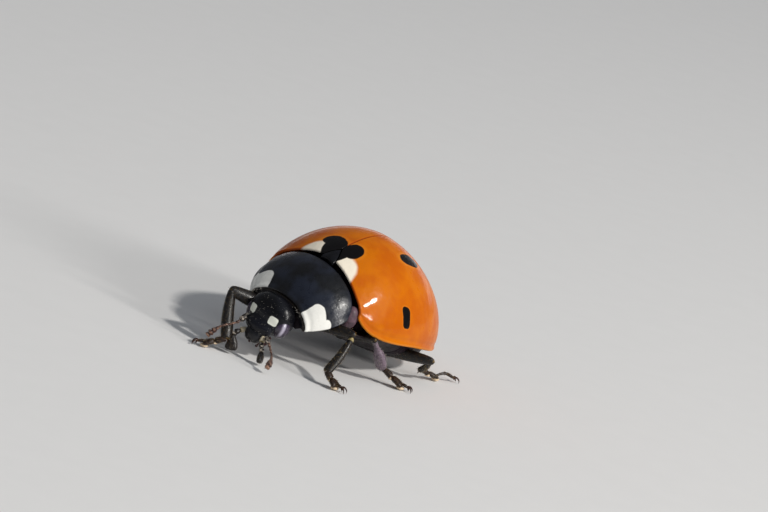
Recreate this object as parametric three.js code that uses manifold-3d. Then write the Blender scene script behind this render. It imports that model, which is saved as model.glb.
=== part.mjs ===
// A seven-spot ladybird, life size, walking on a level floor.
//
// Units are millimetres. The body is modelled in its own frame: +X is the animal's left, -Y is
// forward, +Z is up, and the origin lies under the scutellum, level with the edge of the wing
// cases. One group tilts that frame into the walking stance, head high and left side low, and
// the six feet end in small flats on the floor, which is z = 0 once the group is placed.

import * as THREE from 'three';
import { mergeVertices } from 'three/addons/utils/BufferGeometryUtils.js';
import Module from 'manifold-3d';

const wasm = await Module();
wasm.setup();

// ---------------------------------------------------------------------------------------------
// Driving dimensions
// ---------------------------------------------------------------------------------------------

const GAP = 0.03; // clearance between neighbouring pieces
const SLIVER = 0.006; // facets thinner than this are merged

// How the body stands over the floor, in degrees, and the height of its origin.
const STANCE = { headUp: 9.1, leftDown: 9.0, height: 1.951 };

// The wing cases together are one dome over an oval. Its section is a superellipse, and so is
// the hind half of its plan.
const DOME = {
  halfWidth: 2.66,
  centreY: 2.36,
  frontRadius: 2.86,
  rearRadius: 3.42,
  height: 2.455,
  fullness: 1.87,
  rearSquareness: 2.35,
};

// The edge of the dome waves gently from front to rear and lifts at the shoulders.
const RIM = { wave: 0.084, pitch: 1.15, crestY: 2.69, lift: 1.1, reach: 0.4, flare: 8 };

const SHELL = 0.5; // thickness of the wing cases and of the pronotum

// The base of the wing cases, hollowed to take the back of the pronotum.
const BASE = { midY: 0.25, recess: 0.06, shoulderX: 1.7, power: 3 };

const SCUTELLUM = { halfWidth: 0.25, length: 0.36 };

// The trunk under the wing cases, and where thorax and abdomen part.
const TRUNK = {
  halfWidth: 2.2,
  frontRadius: 2.4,
  rearRadius: 3.02,
  depth: 0.95,
  plan: 3,
  keel: 1.3, // power of the section in front, pointed like a keel
  bowl: 2.4, // power of the section behind, round like a bowl
  waistY: 2.95,
};

// The pronotum hangs between two arches, a front one and a hind one. Each arch is half a
// superellipse across the body: its width, its crown and its corners. Halfway down each side
// the hind one swells backwards and upwards.
const PRONOTUM = {
  front: { halfWidth: 1.178, crownY: -0.984, cornerY: -0.926, crownZ: -0.058, cornerZ: -0.638, power: 1.065, back: 0, rise: 0 },
  hind: { halfWidth: 1.768, crownY: 0.18, cornerY: 0.041, crownZ: 1.335, cornerZ: 0.18, power: 1.194, back: 0.1, rise: 0.06 },
  crownBulge: 0.174,
  sideBulge: 0.161,
  edge: 0.3, // thickness at the two long edges
};

// The underside of the first body ring, which rises from its middle to the sides like a keel.
const STERNUM = {
  z: -1.0, frontY: -0.9, hindY: 0.02, halfWidth: 0.98, edgeDrop: 0.12, fullness: 2.2, keelRise: 0.43, keelPower: 1.3,
};

const HEAD = {
  centre: [0, -1.06, -0.7],
  halfWidth: 0.78,
  front: 0.52,
  back: 0.5,
  up: 0.62,
  down: 0.66,
  muzzle: 0.36, // how much the head narrows towards the mouth
  push: 0.2, // how far the lower face stands forward
};
const CLYPEUS = { centre: [0, -1.42, -1.13], radii: [0.52, 0.21, 0.27] };

const EYE = { centre: [0.6, -1.15, -0.86], radii: [0.22, 0.28, 0.34] };

const LABRUM = { centre: [0, -1.43, -1.46], size: [0.72, 0.38, 0.48], taper: 0.25 };
const MOUTH = { centre: [0, -1.18, -1.46], radii: [0.4, 0.24, 0.3] };

// Feelers and palps as paths from the root to the tip, given for the body frame.
const FEELERS = {
  left: [[0.48, -1.5, -1.28], [1.0, -1.72, -1.51], [1.32, -1.96, -1.71], [1.42, -2.1, -1.86]],
  right: [[-0.52, -1.44, -1.02], [-0.62, -1.95, -1.5], [-0.8, -2.2, -1.8], [-0.95, -2.26, -2.1]],
};
const FEELER_RADII = [0.25, 0.25, 0.25, 0.26];

const PALPS = {
  left: [[0.34, -1.45, -1.3], [0.6, -1.6, -1.68], [0.76, -1.63, -2.0]],
  right: [[-0.33, -1.42, -1.42], [-0.45, -1.74, -1.72], [-0.28, -1.8, -2.1]],
};
const PALP_RADII = [0.22, 0.24, 0.25];

// Hips are placed on the body. Knees, ankles and toes are placed over the floor.
const HIPS = { front: [0.45, -0.3, -0.6], middle: [1.0, 1.3, -0.5], hind: [0.95, 3.15, -0.72] };
const LEGS = {
  front_left: { hip: 'front', knee: [2.17, 0.0, 1.45], ankle: [2.23, -0.89, 0.42], toe: [2.85, -0.76, 0.15] },
  front_right: { hip: 'front', knee: [-1.53, -1.69, 1.66], ankle: [-0.76, -2.2, 0.42], toe: [-1.37, -2.73, 0.15] },
  middle_left: { hip: 'middle', knee: [2.3, 1.0, 1.42], ankle: [2.3, 1.75, 0.48], toe: [3.15, 2.17, 0.15] },
  middle_right: { hip: 'middle', knee: [-2.62, 1.6, 1.62], ankle: [-2.75, 2.45, 0.45], toe: [-3.02, 3.14, 0.15] },
  hind_left: { hip: 'hind', knee: [2.74, 3.6, 0.8], ankle: [2.25, 3.94, 0.3], toe: [2.67, 5.18, 0.15] },
  hind_right: { hip: 'hind', knee: [-2.7, 3.75, 1.35], ankle: [-2.25, 5.05, 0.42], toe: [-2.66, 5.67, 0.15] },
};

// Radius along each leg piece, from its upper to its lower end.
const FEMUR_RADII = [0.27, 0.3, 0.28];
const TIBIA_RADII = [0.27, 0.28, 0.28];
const TARSUS_RADII = [0.26, 0.27, 0.27];

const COLOURS = {
  wingCase: 0xd06a08,
  shell: 0x15171d,
  underside: 0x121014,
  eye: 0x0c0a10,
  mouth: 0x6b3323,
  feeler: 0x9a7a4c,
  leg: 0x1b1714,
};

// ---------------------------------------------------------------------------------------------
// Solids
// ---------------------------------------------------------------------------------------------

/** A manifold solid from a closed three.js geometry. */
function solidFrom(geometry) {
  const bare = geometry.clone();
  bare.deleteAttribute('normal');
  bare.deleteAttribute('uv');
  const merged = mergeVertices(bare, 1e-5);
  return new wasm.Manifold(new wasm.Mesh({
    numProp: 3,
    vertProperties: new Float32Array(merged.attributes.position.array),
    triVerts: new Uint32Array(merged.index.array),
  }));
}

/** The largest piece of a solid. */
function largest(solid) {
  const pieces = solid.decompose();
  pieces.sort((a, b) => b.volume() - a.volume());
  return pieces[0];
}

/** The three.js geometry of the largest piece of a solid, without the slivers that cutting leaves. */
function geometryFrom(solid) {
  const mesh = largest(largest(solid).simplify(SLIVER)).getMesh();
  const geometry = new THREE.BufferGeometry();
  geometry.setAttribute('position', new THREE.BufferAttribute(new Float32Array(mesh.vertProperties), 3));
  geometry.setIndex(new THREE.BufferAttribute(new Uint32Array(mesh.triVerts), 1));
  geometry.computeVertexNormals();
  return geometry;
}

/** Moves every point of a geometry to place(point). */
function remap(geometry, place) {
  const positions = geometry.attributes.position;
  const point = new THREE.Vector3();
  for (let i = 0; i < positions.count; i += 1) {
    point.fromBufferAttribute(positions, i);
    const moved = place(point);
    positions.setXYZ(i, moved.x, moved.y, moved.z);
  }
  return geometry;
}

/** A unit sphere with its poles up and down, each point of which is moved to place(direction). */
function mould(columns, rows, place) {
  const sphere = new THREE.SphereGeometry(1, columns, rows);
  sphere.rotateX(Math.PI / 2);
  return solidFrom(remap(sphere, place));
}

/** A box of points (u, v, w), u from -1 to 1 and v and w from 0 to 1, each moved to place(u, v, w). */
function mouldSlab(columns, rows, place) {
  const box = new THREE.BoxGeometry(2, 1, 1, columns, rows, 1);
  box.translate(0, 0.5, 0.5);
  return solidFrom(remap(box, (p) => place(p.x, p.y, p.z)));
}

/** |value| to a power, with the sign of value. */
function signedPower(value, power) {
  return Math.sign(value) * Math.abs(value) ** power;
}

/** An ellipsoid with given centre and radii, grown by a margin. */
function ellipsoid(centre, radii, grow, columns = 11, rows = 8) {
  return mould(columns, rows, (d) => new THREE.Vector3(
    centre[0] + d.x * (radii[0] + grow),
    centre[1] + d.y * (radii[1] + grow),
    centre[2] + d.z * (radii[2] + grow),
  ));
}

/** One straight length of limb: a lathe profile with rounded ends, turned to lie from a to b. */
function limb(a, b, radii, grow = 0, sides = 7) {
  const axis = new THREE.Vector3().subVectors(b, a);
  const length = axis.length();
  const first = radii[0] + grow;
  const last = radii[radii.length - 1] + grow;
  const profile = [new THREE.Vector2(0, -first * 0.7), new THREE.Vector2(first * 0.7, -first * 0.5)];
  radii.forEach((radius, i) => {
    profile.push(new THREE.Vector2(radius + grow, (length * i) / (radii.length - 1)));
  });
  profile.push(new THREE.Vector2(last * 0.7, length + last * 0.5), new THREE.Vector2(0, length + last * 0.7));
  const geometry = new THREE.LatheGeometry(profile, sides);
  geometry.applyQuaternion(new THREE.Quaternion().setFromUnitVectors(
    new THREE.Vector3(0, 1, 0),
    axis.normalize(),
  ));
  geometry.translate(a.x, a.y, a.z);
  return solidFrom(geometry);
}

/** A chain of limb lengths through points, joined into one solid. */
function chain(points, radii, grow = 0) {
  let solid = null;
  for (let i = 0; i + 1 < points.length; i += 1) {
    const start = new THREE.Vector3(...points[i]);
    const end = new THREE.Vector3(...points[i + 1]);
    const length = limb(start, end, [radii[i], radii[i + 1]], grow, 6);
    solid = solid ? solid.add(length) : length;
  }
  return solid;
}

// ---------------------------------------------------------------------------------------------
// Wing cases, scutellum and trunk
// ---------------------------------------------------------------------------------------------

/** Height of the edge of the wing cases at a distance behind the scutellum. */
function rimHeight(y) {
  return RIM.wave * Math.cos(RIM.pitch * (y - RIM.crestY));
}

/** How far the shoulders lift, aside from 0 at the midline to 1 at the edge. */
function shoulderLift(y, aside) {
  return RIM.lift * Math.exp(-Math.max(0, y) / RIM.reach) * aside ** RIM.flare;
}

/** The factor that takes a point of the unit circle's plan out to a superellipse. */
function squareness(x, y, power) {
  const rho = Math.hypot(x, y);
  return rho > 0 ? rho / (Math.abs(x) ** power + Math.abs(y) ** power) ** (1 / power) : 1;
}

/** The solid dome of the wing cases, shrunk by inset, with its underside sunk by drop. */
function dome(inset, drop, columns = 40, rows = 18) {
  return mould(columns, rows, (d) => {
    const rho = Math.min(1, Math.hypot(d.x, d.y));
    const square = squareness(d.x, d.y, d.y > 0 ? DOME.rearSquareness : 2);
    const reach = (d.y > 0 ? DOME.rearRadius : DOME.frontRadius) - inset;
    const y = DOME.centreY + reach * d.y * square;
    const rise = (DOME.height - inset) * (1 - rho ** DOME.fullness) ** (1 / DOME.fullness);
    const aside = Math.abs(d.x) / Math.sqrt(Math.max(1e-6, 1 - d.y * d.y));
    const edge = rimHeight(y) + shoulderLift(y, aside);
    const z = edge + (d.z > 0 ? rise : -drop * Math.sqrt(1 - rho * rho));
    return new THREE.Vector3((DOME.halfWidth - inset) * d.x * square, y, z);
  });
}

/** Everything in front of the base of the wing cases. */
function baseCutter(setback) {
  const edge = 4;
  const outline = new THREE.Shape();
  outline.moveTo(edge, -edge);
  const steps = 20;
  for (let i = 0; i <= steps; i += 1) {
    const x = edge - (2 * edge * i) / steps;
    const y = BASE.midY + BASE.recess * (Math.min(Math.abs(x), 2.2) / BASE.shoulderX) ** BASE.power;
    outline.lineTo(x, y + setback);
  }
  outline.lineTo(-edge, -edge);
  const slab = new THREE.ExtrudeGeometry(outline, { depth: 2 * edge, bevelEnabled: false });
  slab.translate(0, 0, -edge);
  return solidFrom(slab);
}

/** The small three-sided plate between the bases of the wing cases, as a tall prism. */
function scutellumPrism(grow) {
  const outline = new THREE.Shape();
  outline.moveTo(SCUTELLUM.halfWidth + grow, -1);
  outline.lineTo(SCUTELLUM.halfWidth + grow, BASE.midY + grow);
  outline.lineTo(0.06 + grow, BASE.midY + SCUTELLUM.length + grow);
  outline.lineTo(-0.06 - grow, BASE.midY + SCUTELLUM.length + grow);
  outline.lineTo(-SCUTELLUM.halfWidth - grow, BASE.midY + grow);
  outline.lineTo(-SCUTELLUM.halfWidth - grow, -1);
  const prism = new THREE.ExtrudeGeometry(outline, { depth: 4, bevelEnabled: false });
  return solidFrom(prism);
}

/** A large block on one side of the midline. */
function sideBlock(side) {
  const block = new THREE.BoxGeometry(5, 12, 10);
  block.translate(side * (2.5 + GAP / 2), DOME.centreY, 0);
  return solidFrom(block);
}

const shell = dome(0, 0.04).subtract(dome(SHELL, 1.2, 24, 12));
const wingCases = shell.subtract(baseCutter(0)).subtract(scutellumPrism(GAP));
const scutellum = shell.intersect(scutellumPrism(0)).subtract(baseCutter(-GAP));

/** The part of the trunk that fills the dome. */
function trunkTop(grow) {
  return dome(SHELL + GAP - grow, 0.3 + grow, 24, 12);
}

/** The part of the trunk under the edge of the wing cases, full in the shoulders. */
function belly(grow) {
  return mould(24, 10, (d) => {
    const rho = Math.min(1, Math.hypot(d.x, d.y));
    const square = squareness(d.x, d.y, TRUNK.plan);
    const reach = (d.y > 0 ? TRUNK.rearRadius : TRUNK.frontRadius) + grow;
    const y = DOME.centreY + reach * d.y * square;
    const power = THREE.MathUtils.lerp(TRUNK.keel, TRUNK.bowl, THREE.MathUtils.smoothstep(y, 1.6, 3.6));
    const depth = TRUNK.depth * (0.8 + 0.2 * THREE.MathUtils.smoothstep(y, 0.5, 3));
    const fall = (depth + grow) * (1 - rho ** power) ** (1 / power);
    const top = rimHeight(y) - GAP + grow;
    return new THREE.Vector3((TRUNK.halfWidth + grow) * d.x * square, y, d.z > 0 ? top : top - 0.06 - fall);
  });
}

/** The whole trunk, wing cases and scutellum apart. */
function trunk(grow) {
  return trunkTop(grow).add(belly(grow)).subtract(baseCutter(-0.32 - grow));
}

/** Everything behind (+1) or in front (-1) of the waist. */
function waistBlock(side) {
  const block = new THREE.BoxGeometry(10, 8, 12);
  block.translate(0, TRUNK.waistY + side * (4 + GAP / 2), 0);
  return solidFrom(block);
}

// ---------------------------------------------------------------------------------------------
// Pronotum and first body ring
// ---------------------------------------------------------------------------------------------

/** A point of one of the pronotum's two arches, u from -1 on the right to 1 on the left. */
function archPoint(arch, u) {
  const turn = (u * Math.PI) / 2;
  const crown = Math.max(0, Math.cos(turn)) ** arch.power;
  const swell = Math.max(0, Math.sin(Math.PI * Math.abs(u) ** 1.8)) ** 1.2;
  return new THREE.Vector3(
    arch.halfWidth * Math.sin(turn),
    arch.crownY + (arch.cornerY - arch.crownY) * u * u + arch.back * swell,
    arch.cornerZ + (arch.crownZ - arch.cornerZ) * crown + arch.rise * swell,
  );
}

/** The outer face of the pronotum, v from 0 at the front edge to 1 at the hind edge. */
function pronotumFace(u, v) {
  const point = archPoint(PRONOTUM.front, u).lerp(archPoint(PRONOTUM.hind, u), v);
  const swell = 4 * v * (1 - v);
  const turn = (u * Math.PI) / 2;
  point.x += swell * PRONOTUM.sideBulge * Math.sin(turn);
  point.y -= swell * PRONOTUM.crownBulge * Math.cos(turn);
  point.z += swell * PRONOTUM.crownBulge * Math.cos(turn);
  return point;
}

/** The point at a depth under the outer face, towards the axis of the two arches. */
function underPronotum(u, v, depth) {
  const point = pronotumFace(u, v);
  const axis = new THREE.Vector3(
    0,
    THREE.MathUtils.lerp(PRONOTUM.front.cornerY, PRONOTUM.hind.cornerY, v),
    THREE.MathUtils.lerp(PRONOTUM.front.cornerZ, PRONOTUM.hind.cornerZ, v) - 0.1,
  );
  const inward = axis.sub(point).normalize();
  return point.addScaledVector(inward, depth);
}

/** Thickness of the pronotum, full in the middle and thinner at its two long edges. */
function pronotumThickness(v) {
  return PRONOTUM.edge + (SHELL - PRONOTUM.edge) * Math.min(1, 8 * v * (1 - v));
}

/** The pronotum as a bent plate. */
function pronotum() {
  return mouldSlab(22, 6, (u, v, w) => underPronotum(u, v, w > 0.5 ? 0 : pronotumThickness(v)));
}

/**
 * A block under part of the pronotum, down to the breastbone. Extent is the share of the
 * pronotum it spans, and topDepth(v) is how far its top lies under the pronotum's outer face.
 */
function ringBlock(extent, topDepth, grow) {
  return mouldSlab(14, 3, (u, v, w) => {
    const along = 0.5 + (v - 0.5) * extent;
    const top = underPronotum(u * extent, along, topDepth(along));
    if (w > 0.5) {
      return top;
    }
    const fall = 1 - Math.abs(u) ** STERNUM.fullness;
    const bottomY = THREE.MathUtils.lerp(STERNUM.frontY - grow, STERNUM.hindY + grow, v);
    const edgeZ = top.z - STERNUM.edgeDrop - grow;
    const keelZ = STERNUM.z + STERNUM.keelRise * Math.abs(u) ** STERNUM.keelPower;
    return new THREE.Vector3(
      THREE.MathUtils.lerp(top.x, u * STERNUM.halfWidth, fall),
      THREE.MathUtils.lerp(top.y, bottomY, fall),
      THREE.MathUtils.lerp(edgeZ, Math.min(edgeZ, keelZ - grow), fall),
    );
  });
}

/** The body ring under the pronotum. */
function prothorax() {
  return ringBlock(0.9, (v) => pronotumThickness(v) + 2 * GAP, 0);
}

/** The pronotum and the body ring in one, grown by the gap, to cut what plugs into them. */
function collarSpace() {
  return ringBlock(1.05, () => -GAP, GAP);
}

// ---------------------------------------------------------------------------------------------
// Head
// ---------------------------------------------------------------------------------------------

/** The head capsule: a flattened ellipsoid that narrows towards the mouth, its lower face pushed forward. */
function headCapsule(grow) {
  const capsule = mould(18, 10, (d) => {
    const narrow = 1 - HEAD.muzzle * Math.max(0, -d.z) ** 1.6;
    const depth = d.y < 0 ? HEAD.front : HEAD.back;
    const height = d.z < 0 ? HEAD.down : HEAD.up;
    const y = HEAD.centre[1] + (depth + grow) * signedPower(d.y, 0.75);
    const z = HEAD.centre[2] + (height + grow) * signedPower(d.z, 0.85);
    const ahead = THREE.MathUtils.smoothstep(-z, 0.8, 1.3) * THREE.MathUtils.smoothstep(-y, 0.9, 1.2);
    const x = HEAD.centre[0] + (HEAD.halfWidth + grow) * signedPower(d.x, 0.9) * narrow;
    return new THREE.Vector3(x, y - HEAD.push * ahead, z);
  });
  return capsule.add(ellipsoid(CLYPEUS.centre, CLYPEUS.radii, grow));
}

/** One compound eye. */
function eye(side, grow) {
  const centre = [side * EYE.centre[0], EYE.centre[1], EYE.centre[2]];
  return ellipsoid(centre, EYE.radii, grow);
}

/** The upper lip, a short plate that narrows downwards. */
function labrum(grow) {
  return mould(12, 8, (d) => {
    const narrow = 1 - LABRUM.taper * (1 - d.z) / 2;
    return new THREE.Vector3(
      LABRUM.centre[0] + (LABRUM.size[0] / 2 + grow) * signedPower(d.x, 0.6) * narrow,
      LABRUM.centre[1] + (LABRUM.size[1] / 2 + grow) * signedPower(d.y, 0.7),
      LABRUM.centre[2] + (LABRUM.size[2] / 2 + grow) * signedPower(d.z, 0.6),
    );
  });
}

// ---------------------------------------------------------------------------------------------
// The group in its stance
// ---------------------------------------------------------------------------------------------

const stance = new THREE.Group();
stance.rotation.set(
  -THREE.MathUtils.degToRad(STANCE.headUp),
  THREE.MathUtils.degToRad(STANCE.leftDown),
  0,
  'YXZ',
);
stance.position.z = STANCE.height;
stance.updateMatrixWorld(true);

/** A point over the floor, in the body frame. */
function fromFloor(point) {
  return stance.worldToLocal(new THREE.Vector3(...point));
}

/** Everything under the floor, in the body frame. */
function underFloor() {
  const block = new THREE.BoxGeometry(20, 20, 4);
  block.translate(0, 0, -2);
  block.applyMatrix4(stance.matrixWorld.clone().invert());
  return solidFrom(block);
}

/** Adds one named piece to the group. */
function addPiece(name, solid, colour, roughness) {
  const material = new THREE.MeshStandardMaterial({ color: colour, roughness, metalness: 0 });
  const mesh = new THREE.Mesh(geometryFrom(solid), material);
  mesh.name = name;
  stance.add(mesh);
}

// ---------------------------------------------------------------------------------------------
// Body pieces
// ---------------------------------------------------------------------------------------------

const torso = trunk(0);
const wingSpace = dome(-GAP, 0.04 + GAP).subtract(baseCutter(-2 * GAP)); // keeps the pronotum clear of the wing cases
addPiece('elytron_left', wingCases.intersect(sideBlock(1)), COLOURS.wingCase, 0.22);
addPiece('elytron_right', wingCases.intersect(sideBlock(-1)), COLOURS.wingCase, 0.22);
addPiece('scutellum', scutellum, COLOURS.shell, 0.3);
addPiece('pronotum', pronotum().subtract(trunk(GAP)).subtract(wingSpace), COLOURS.shell, 0.25);
addPiece('prothorax', prothorax().subtract(trunk(GAP)).subtract(wingSpace), COLOURS.underside, 0.5);
addPiece('thorax', torso.intersect(waistBlock(-1)), COLOURS.underside, 0.5);
addPiece('abdomen', torso.intersect(waistBlock(1)), COLOURS.underside, 0.45);

const eyesGrown = eye(1, GAP).add(eye(-1, GAP));
const collar = collarSpace();
addPiece('head', headCapsule(0).subtract(eyesGrown).subtract(collar), COLOURS.shell, 0.3);
addPiece('eye_left', eye(1, 0).subtract(collar), COLOURS.eye, 0.15);
addPiece('eye_right', eye(-1, 0).subtract(collar), COLOURS.eye, 0.15);

const face = headCapsule(GAP).add(eyesGrown).add(collar);
addPiece('labrum', labrum(0).subtract(face), COLOURS.shell, 0.3);
const lips = face.add(labrum(GAP));
addPiece('mouthparts', ellipsoid(MOUTH.centre, MOUTH.radii, 0).subtract(lips), COLOURS.mouth, 0.4);

const mouthGrown = lips.add(ellipsoid(MOUTH.centre, MOUTH.radii, GAP));
let reachSpace = null; // the palps and feelers, grown by the gap
for (const side of ['left', 'right']) {
  const palp = chain(PALPS[side], PALP_RADII);
  const palpGrown = chain(PALPS[side], PALP_RADII, GAP);
  addPiece(`palp_${side}`, palp.subtract(mouthGrown).subtract(underFloor()), COLOURS.leg, 0.4);
  const feeler = chain(FEELERS[side], FEELER_RADII).subtract(mouthGrown).subtract(palpGrown).subtract(underFloor());
  addPiece(`antenna_${side}`, feeler, COLOURS.feeler, 0.5);
  const grown = palpGrown.add(chain(FEELERS[side], FEELER_RADII, GAP));
  reachSpace = reachSpace ? reachSpace.add(grown) : grown;
}

// ---------------------------------------------------------------------------------------------
// Legs
// ---------------------------------------------------------------------------------------------

const keepOut = mouthGrown.add(dome(-GAP, 0.04 + GAP)).add(trunk(GAP));
for (const [name, leg] of Object.entries(LEGS)) {
  const side = name.endsWith('left') ? 1 : -1;
  const [x, y, z] = HIPS[leg.hip];
  const hip = new THREE.Vector3(side * x, y, z);
  const knee = fromFloor(leg.knee);
  const ankle = fromFloor(leg.ankle);
  const toe = fromFloor(leg.toe);
  const femur = limb(hip, knee, FEMUR_RADII).subtract(keepOut);
  const tibia = limb(knee, ankle, TIBIA_RADII);
  const tibiaCut = tibia.subtract(keepOut).subtract(reachSpace).subtract(limb(hip, knee, FEMUR_RADII, GAP));
  const tarsus = limb(ankle, toe, TARSUS_RADII);
  const tarsusClear = tarsus.subtract(keepOut).subtract(reachSpace);
  const tarsusCut = tarsusClear.subtract(limb(knee, ankle, TIBIA_RADII, GAP)).subtract(underFloor());
  addPiece(`femur_${name}`, femur, COLOURS.leg, 0.35);
  addPiece(`tibia_${name}`, tibiaCut, COLOURS.leg, 0.4);
  addPiece(`tarsus_${name}`, tarsusCut, COLOURS.leg, 0.45);
}

// The origin goes to the middle of the footprint.
const model = new THREE.Group();
model.add(stance);
model.updateMatrixWorld(true);
const bounds = new THREE.Box3().setFromObject(model, true);
model.position.x = -(bounds.min.x + bounds.max.x) / 2;
model.position.y = -(bounds.min.y + bounds.max.y) / 2;
model.position.z = -bounds.min.z;
model.updateMatrixWorld(true);

export default model;
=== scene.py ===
"""A seven-spot ladybird, life size, walking on a level floor.

Shapes are worked out in millimetres. The body has its own frame: +X is the animal's left, -Y is
forward, +Z is up, and the origin lies under the scutellum, level with the edge of the wing
cases. The feet are placed over the floor. Stance takes both into the shared frame, in metres.
"""

import logging
from dataclasses import dataclass, field
from enum import Enum
from functools import reduce
from typing import Any

import bpy
import numpy as np
from mathutils import Matrix, Vector


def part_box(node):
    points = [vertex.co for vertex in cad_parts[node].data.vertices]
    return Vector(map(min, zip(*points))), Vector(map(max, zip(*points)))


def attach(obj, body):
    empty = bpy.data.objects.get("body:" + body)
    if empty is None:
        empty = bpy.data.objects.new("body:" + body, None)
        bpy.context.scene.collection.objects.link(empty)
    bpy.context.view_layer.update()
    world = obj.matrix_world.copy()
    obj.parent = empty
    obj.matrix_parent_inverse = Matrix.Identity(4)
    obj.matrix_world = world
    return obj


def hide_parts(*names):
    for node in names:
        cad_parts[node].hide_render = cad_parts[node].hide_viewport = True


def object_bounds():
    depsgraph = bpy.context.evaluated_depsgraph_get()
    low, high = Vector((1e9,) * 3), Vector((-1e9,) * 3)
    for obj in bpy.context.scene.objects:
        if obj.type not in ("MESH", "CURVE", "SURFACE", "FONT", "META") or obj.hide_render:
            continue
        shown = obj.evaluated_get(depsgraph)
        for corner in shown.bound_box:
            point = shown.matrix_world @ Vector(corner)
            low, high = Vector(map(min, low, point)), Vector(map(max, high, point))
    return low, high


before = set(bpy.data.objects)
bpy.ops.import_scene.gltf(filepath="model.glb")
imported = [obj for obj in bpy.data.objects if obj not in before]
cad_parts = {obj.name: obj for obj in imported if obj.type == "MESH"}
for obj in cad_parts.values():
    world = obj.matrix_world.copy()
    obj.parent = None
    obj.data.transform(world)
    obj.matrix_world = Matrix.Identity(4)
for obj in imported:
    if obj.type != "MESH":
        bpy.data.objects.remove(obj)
CAD_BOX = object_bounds()

Array = np.ndarray
Colour = tuple[float, float, float]
Point = tuple[float, float, float]
Knots = tuple[Point, ...]  # points of a path, or rows of a profile
Material = bpy.types.Material
Socket = bpy.types.NodeSocket
Value = float | tuple | Socket

LOG = logging.getLogger("ladybird")
METRES = 0.001  # one millimetre


class Side(Enum):
    """One side of the animal. The value is the sign of X there."""

    LEFT = 1
    RIGHT = -1

    @property
    def word(self) -> str:
        """The side as it stands in names."""
        return self.name.lower()


class Pair(Enum):
    """One of the three pairs of legs."""

    FRONT = "front"
    MIDDLE = "middle"
    HIND = "hind"


class Space(Enum):
    """The frame in which a shell's points are given."""

    BODY = "body"
    FLOOR = "floor"


# ---- Stance ----


@dataclass(frozen=True)
class Stance:
    """How the body stands over the floor. Angles are in degrees and lengths in millimetres."""

    head_up: float = 9.1
    left_down: float = 9.0
    height: float = 1.951
    plate_middle: tuple[float, float] = (0.02355, -0.31519)  # pronotum's box, before the shift

    def turn(self) -> Array:
        """The turn of the body: head up about X first, then left side down about Y.

        Returns:
            A 3 by 3 matrix.
        """
        pitch, roll = np.radians([-self.head_up, self.left_down])
        about_x = [[1, 0, 0], [0, np.cos(pitch), -np.sin(pitch)], [0, np.sin(pitch), np.cos(pitch)]]
        about_y = [[np.cos(roll), 0, np.sin(roll)], [0, 1, 0], [-np.sin(roll), 0, np.cos(roll)]]
        return np.array(about_y) @ np.array(about_x)

    def shift(self) -> Array:
        """The move over the floor that puts the origin in the middle of the footprint.

        Returns:
            Three numbers in millimetres.
        """
        low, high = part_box("pronotum")
        middle = (low + high) / 2 / METRES
        return np.array([middle.x - self.plate_middle[0], middle.y - self.plate_middle[1], 0.0])

    def over_floor(self, points: Array) -> Array:
        """Points of the body frame, turned and lifted over the floor."""
        return np.asarray(points, float) @ self.turn().T + [0.0, 0.0, self.height]

    def place(self, points: Array, space: Space) -> Array:
        """Points in the shared frame."""
        lifted = self.over_floor(points) if space is Space.BODY else points
        return (lifted + self.shift()) * METRES


STANCE = Stance()


# ---- Shells: closed surfaces on grids ----


@dataclass
class Shell:
    """A closed surface of triangles. Chart holds surface parameters that markings follow."""

    points: Array
    faces: Array
    chart: Array

    def middles(self) -> Array:
        """The middles of the triangles."""
        return self.points[self.faces].mean(axis=1)


def unit(vectors: Array) -> Array:
    """Vectors divided by their lengths."""
    return vectors / np.maximum(np.linalg.norm(vectors, axis=-1, keepdims=True), 1e-12)


def circle(count: int) -> Array:
    """Angles spread evenly round a full turn."""
    return np.linspace(0, 2 * np.pi, count, endpoint=False)


def ease(value: Array, start: float, end: float) -> Array:
    """A smooth step: 0 up to start, 1 from end, and 3t^2 - 2t^3 between them."""
    t = np.clip((np.asarray(value, float) - start) / (end - start), 0.0, 1.0)
    return t * t * (3 - 2 * t)


def bell(value: Array, centre: float, width: float) -> Array:
    """A bell curve of height 1: exp(-((value - centre) / width)^2)."""
    return np.exp(-(((np.asarray(value, float) - centre) / width) ** 2))


def ridges(distance: Array, rows: Knots) -> Array:
    """Ridges and grooves: the sum of height * bell(distance, centre, width) over the rows."""
    return sum(height * bell(distance, centre, width) for height, centre, width in rows)


def round_off(distance: Array, radius: float) -> Array:
    """How far a rounded edge falls: radius minus the height of a quarter circle."""
    inside = np.clip(radius - distance, 0.0, radius)
    return radius - np.sqrt(radius**2 - inside**2)


def grid_faces(rows: int, columns: int, wrap: bool) -> Array:
    """Two triangles for each cell of a grid of points.

    Args:
        rows: Number of rows.
        columns: Number of columns.
        wrap: True if the last column joins the first.

    Returns:
        Point numbers, three to a triangle.
    """
    index = np.arange(rows * columns).reshape(rows, columns)
    if wrap:
        index = np.hstack([index, index[:, :1]])
    a, b, c, d = index[:-1, :-1], index[:-1, 1:], index[1:, 1:], index[1:, :-1]
    lower = np.stack([a, b, c], -1).reshape(-1, 3)
    upper = np.stack([a, c, d], -1).reshape(-1, 3)
    return np.concatenate([lower, upper])


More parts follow.
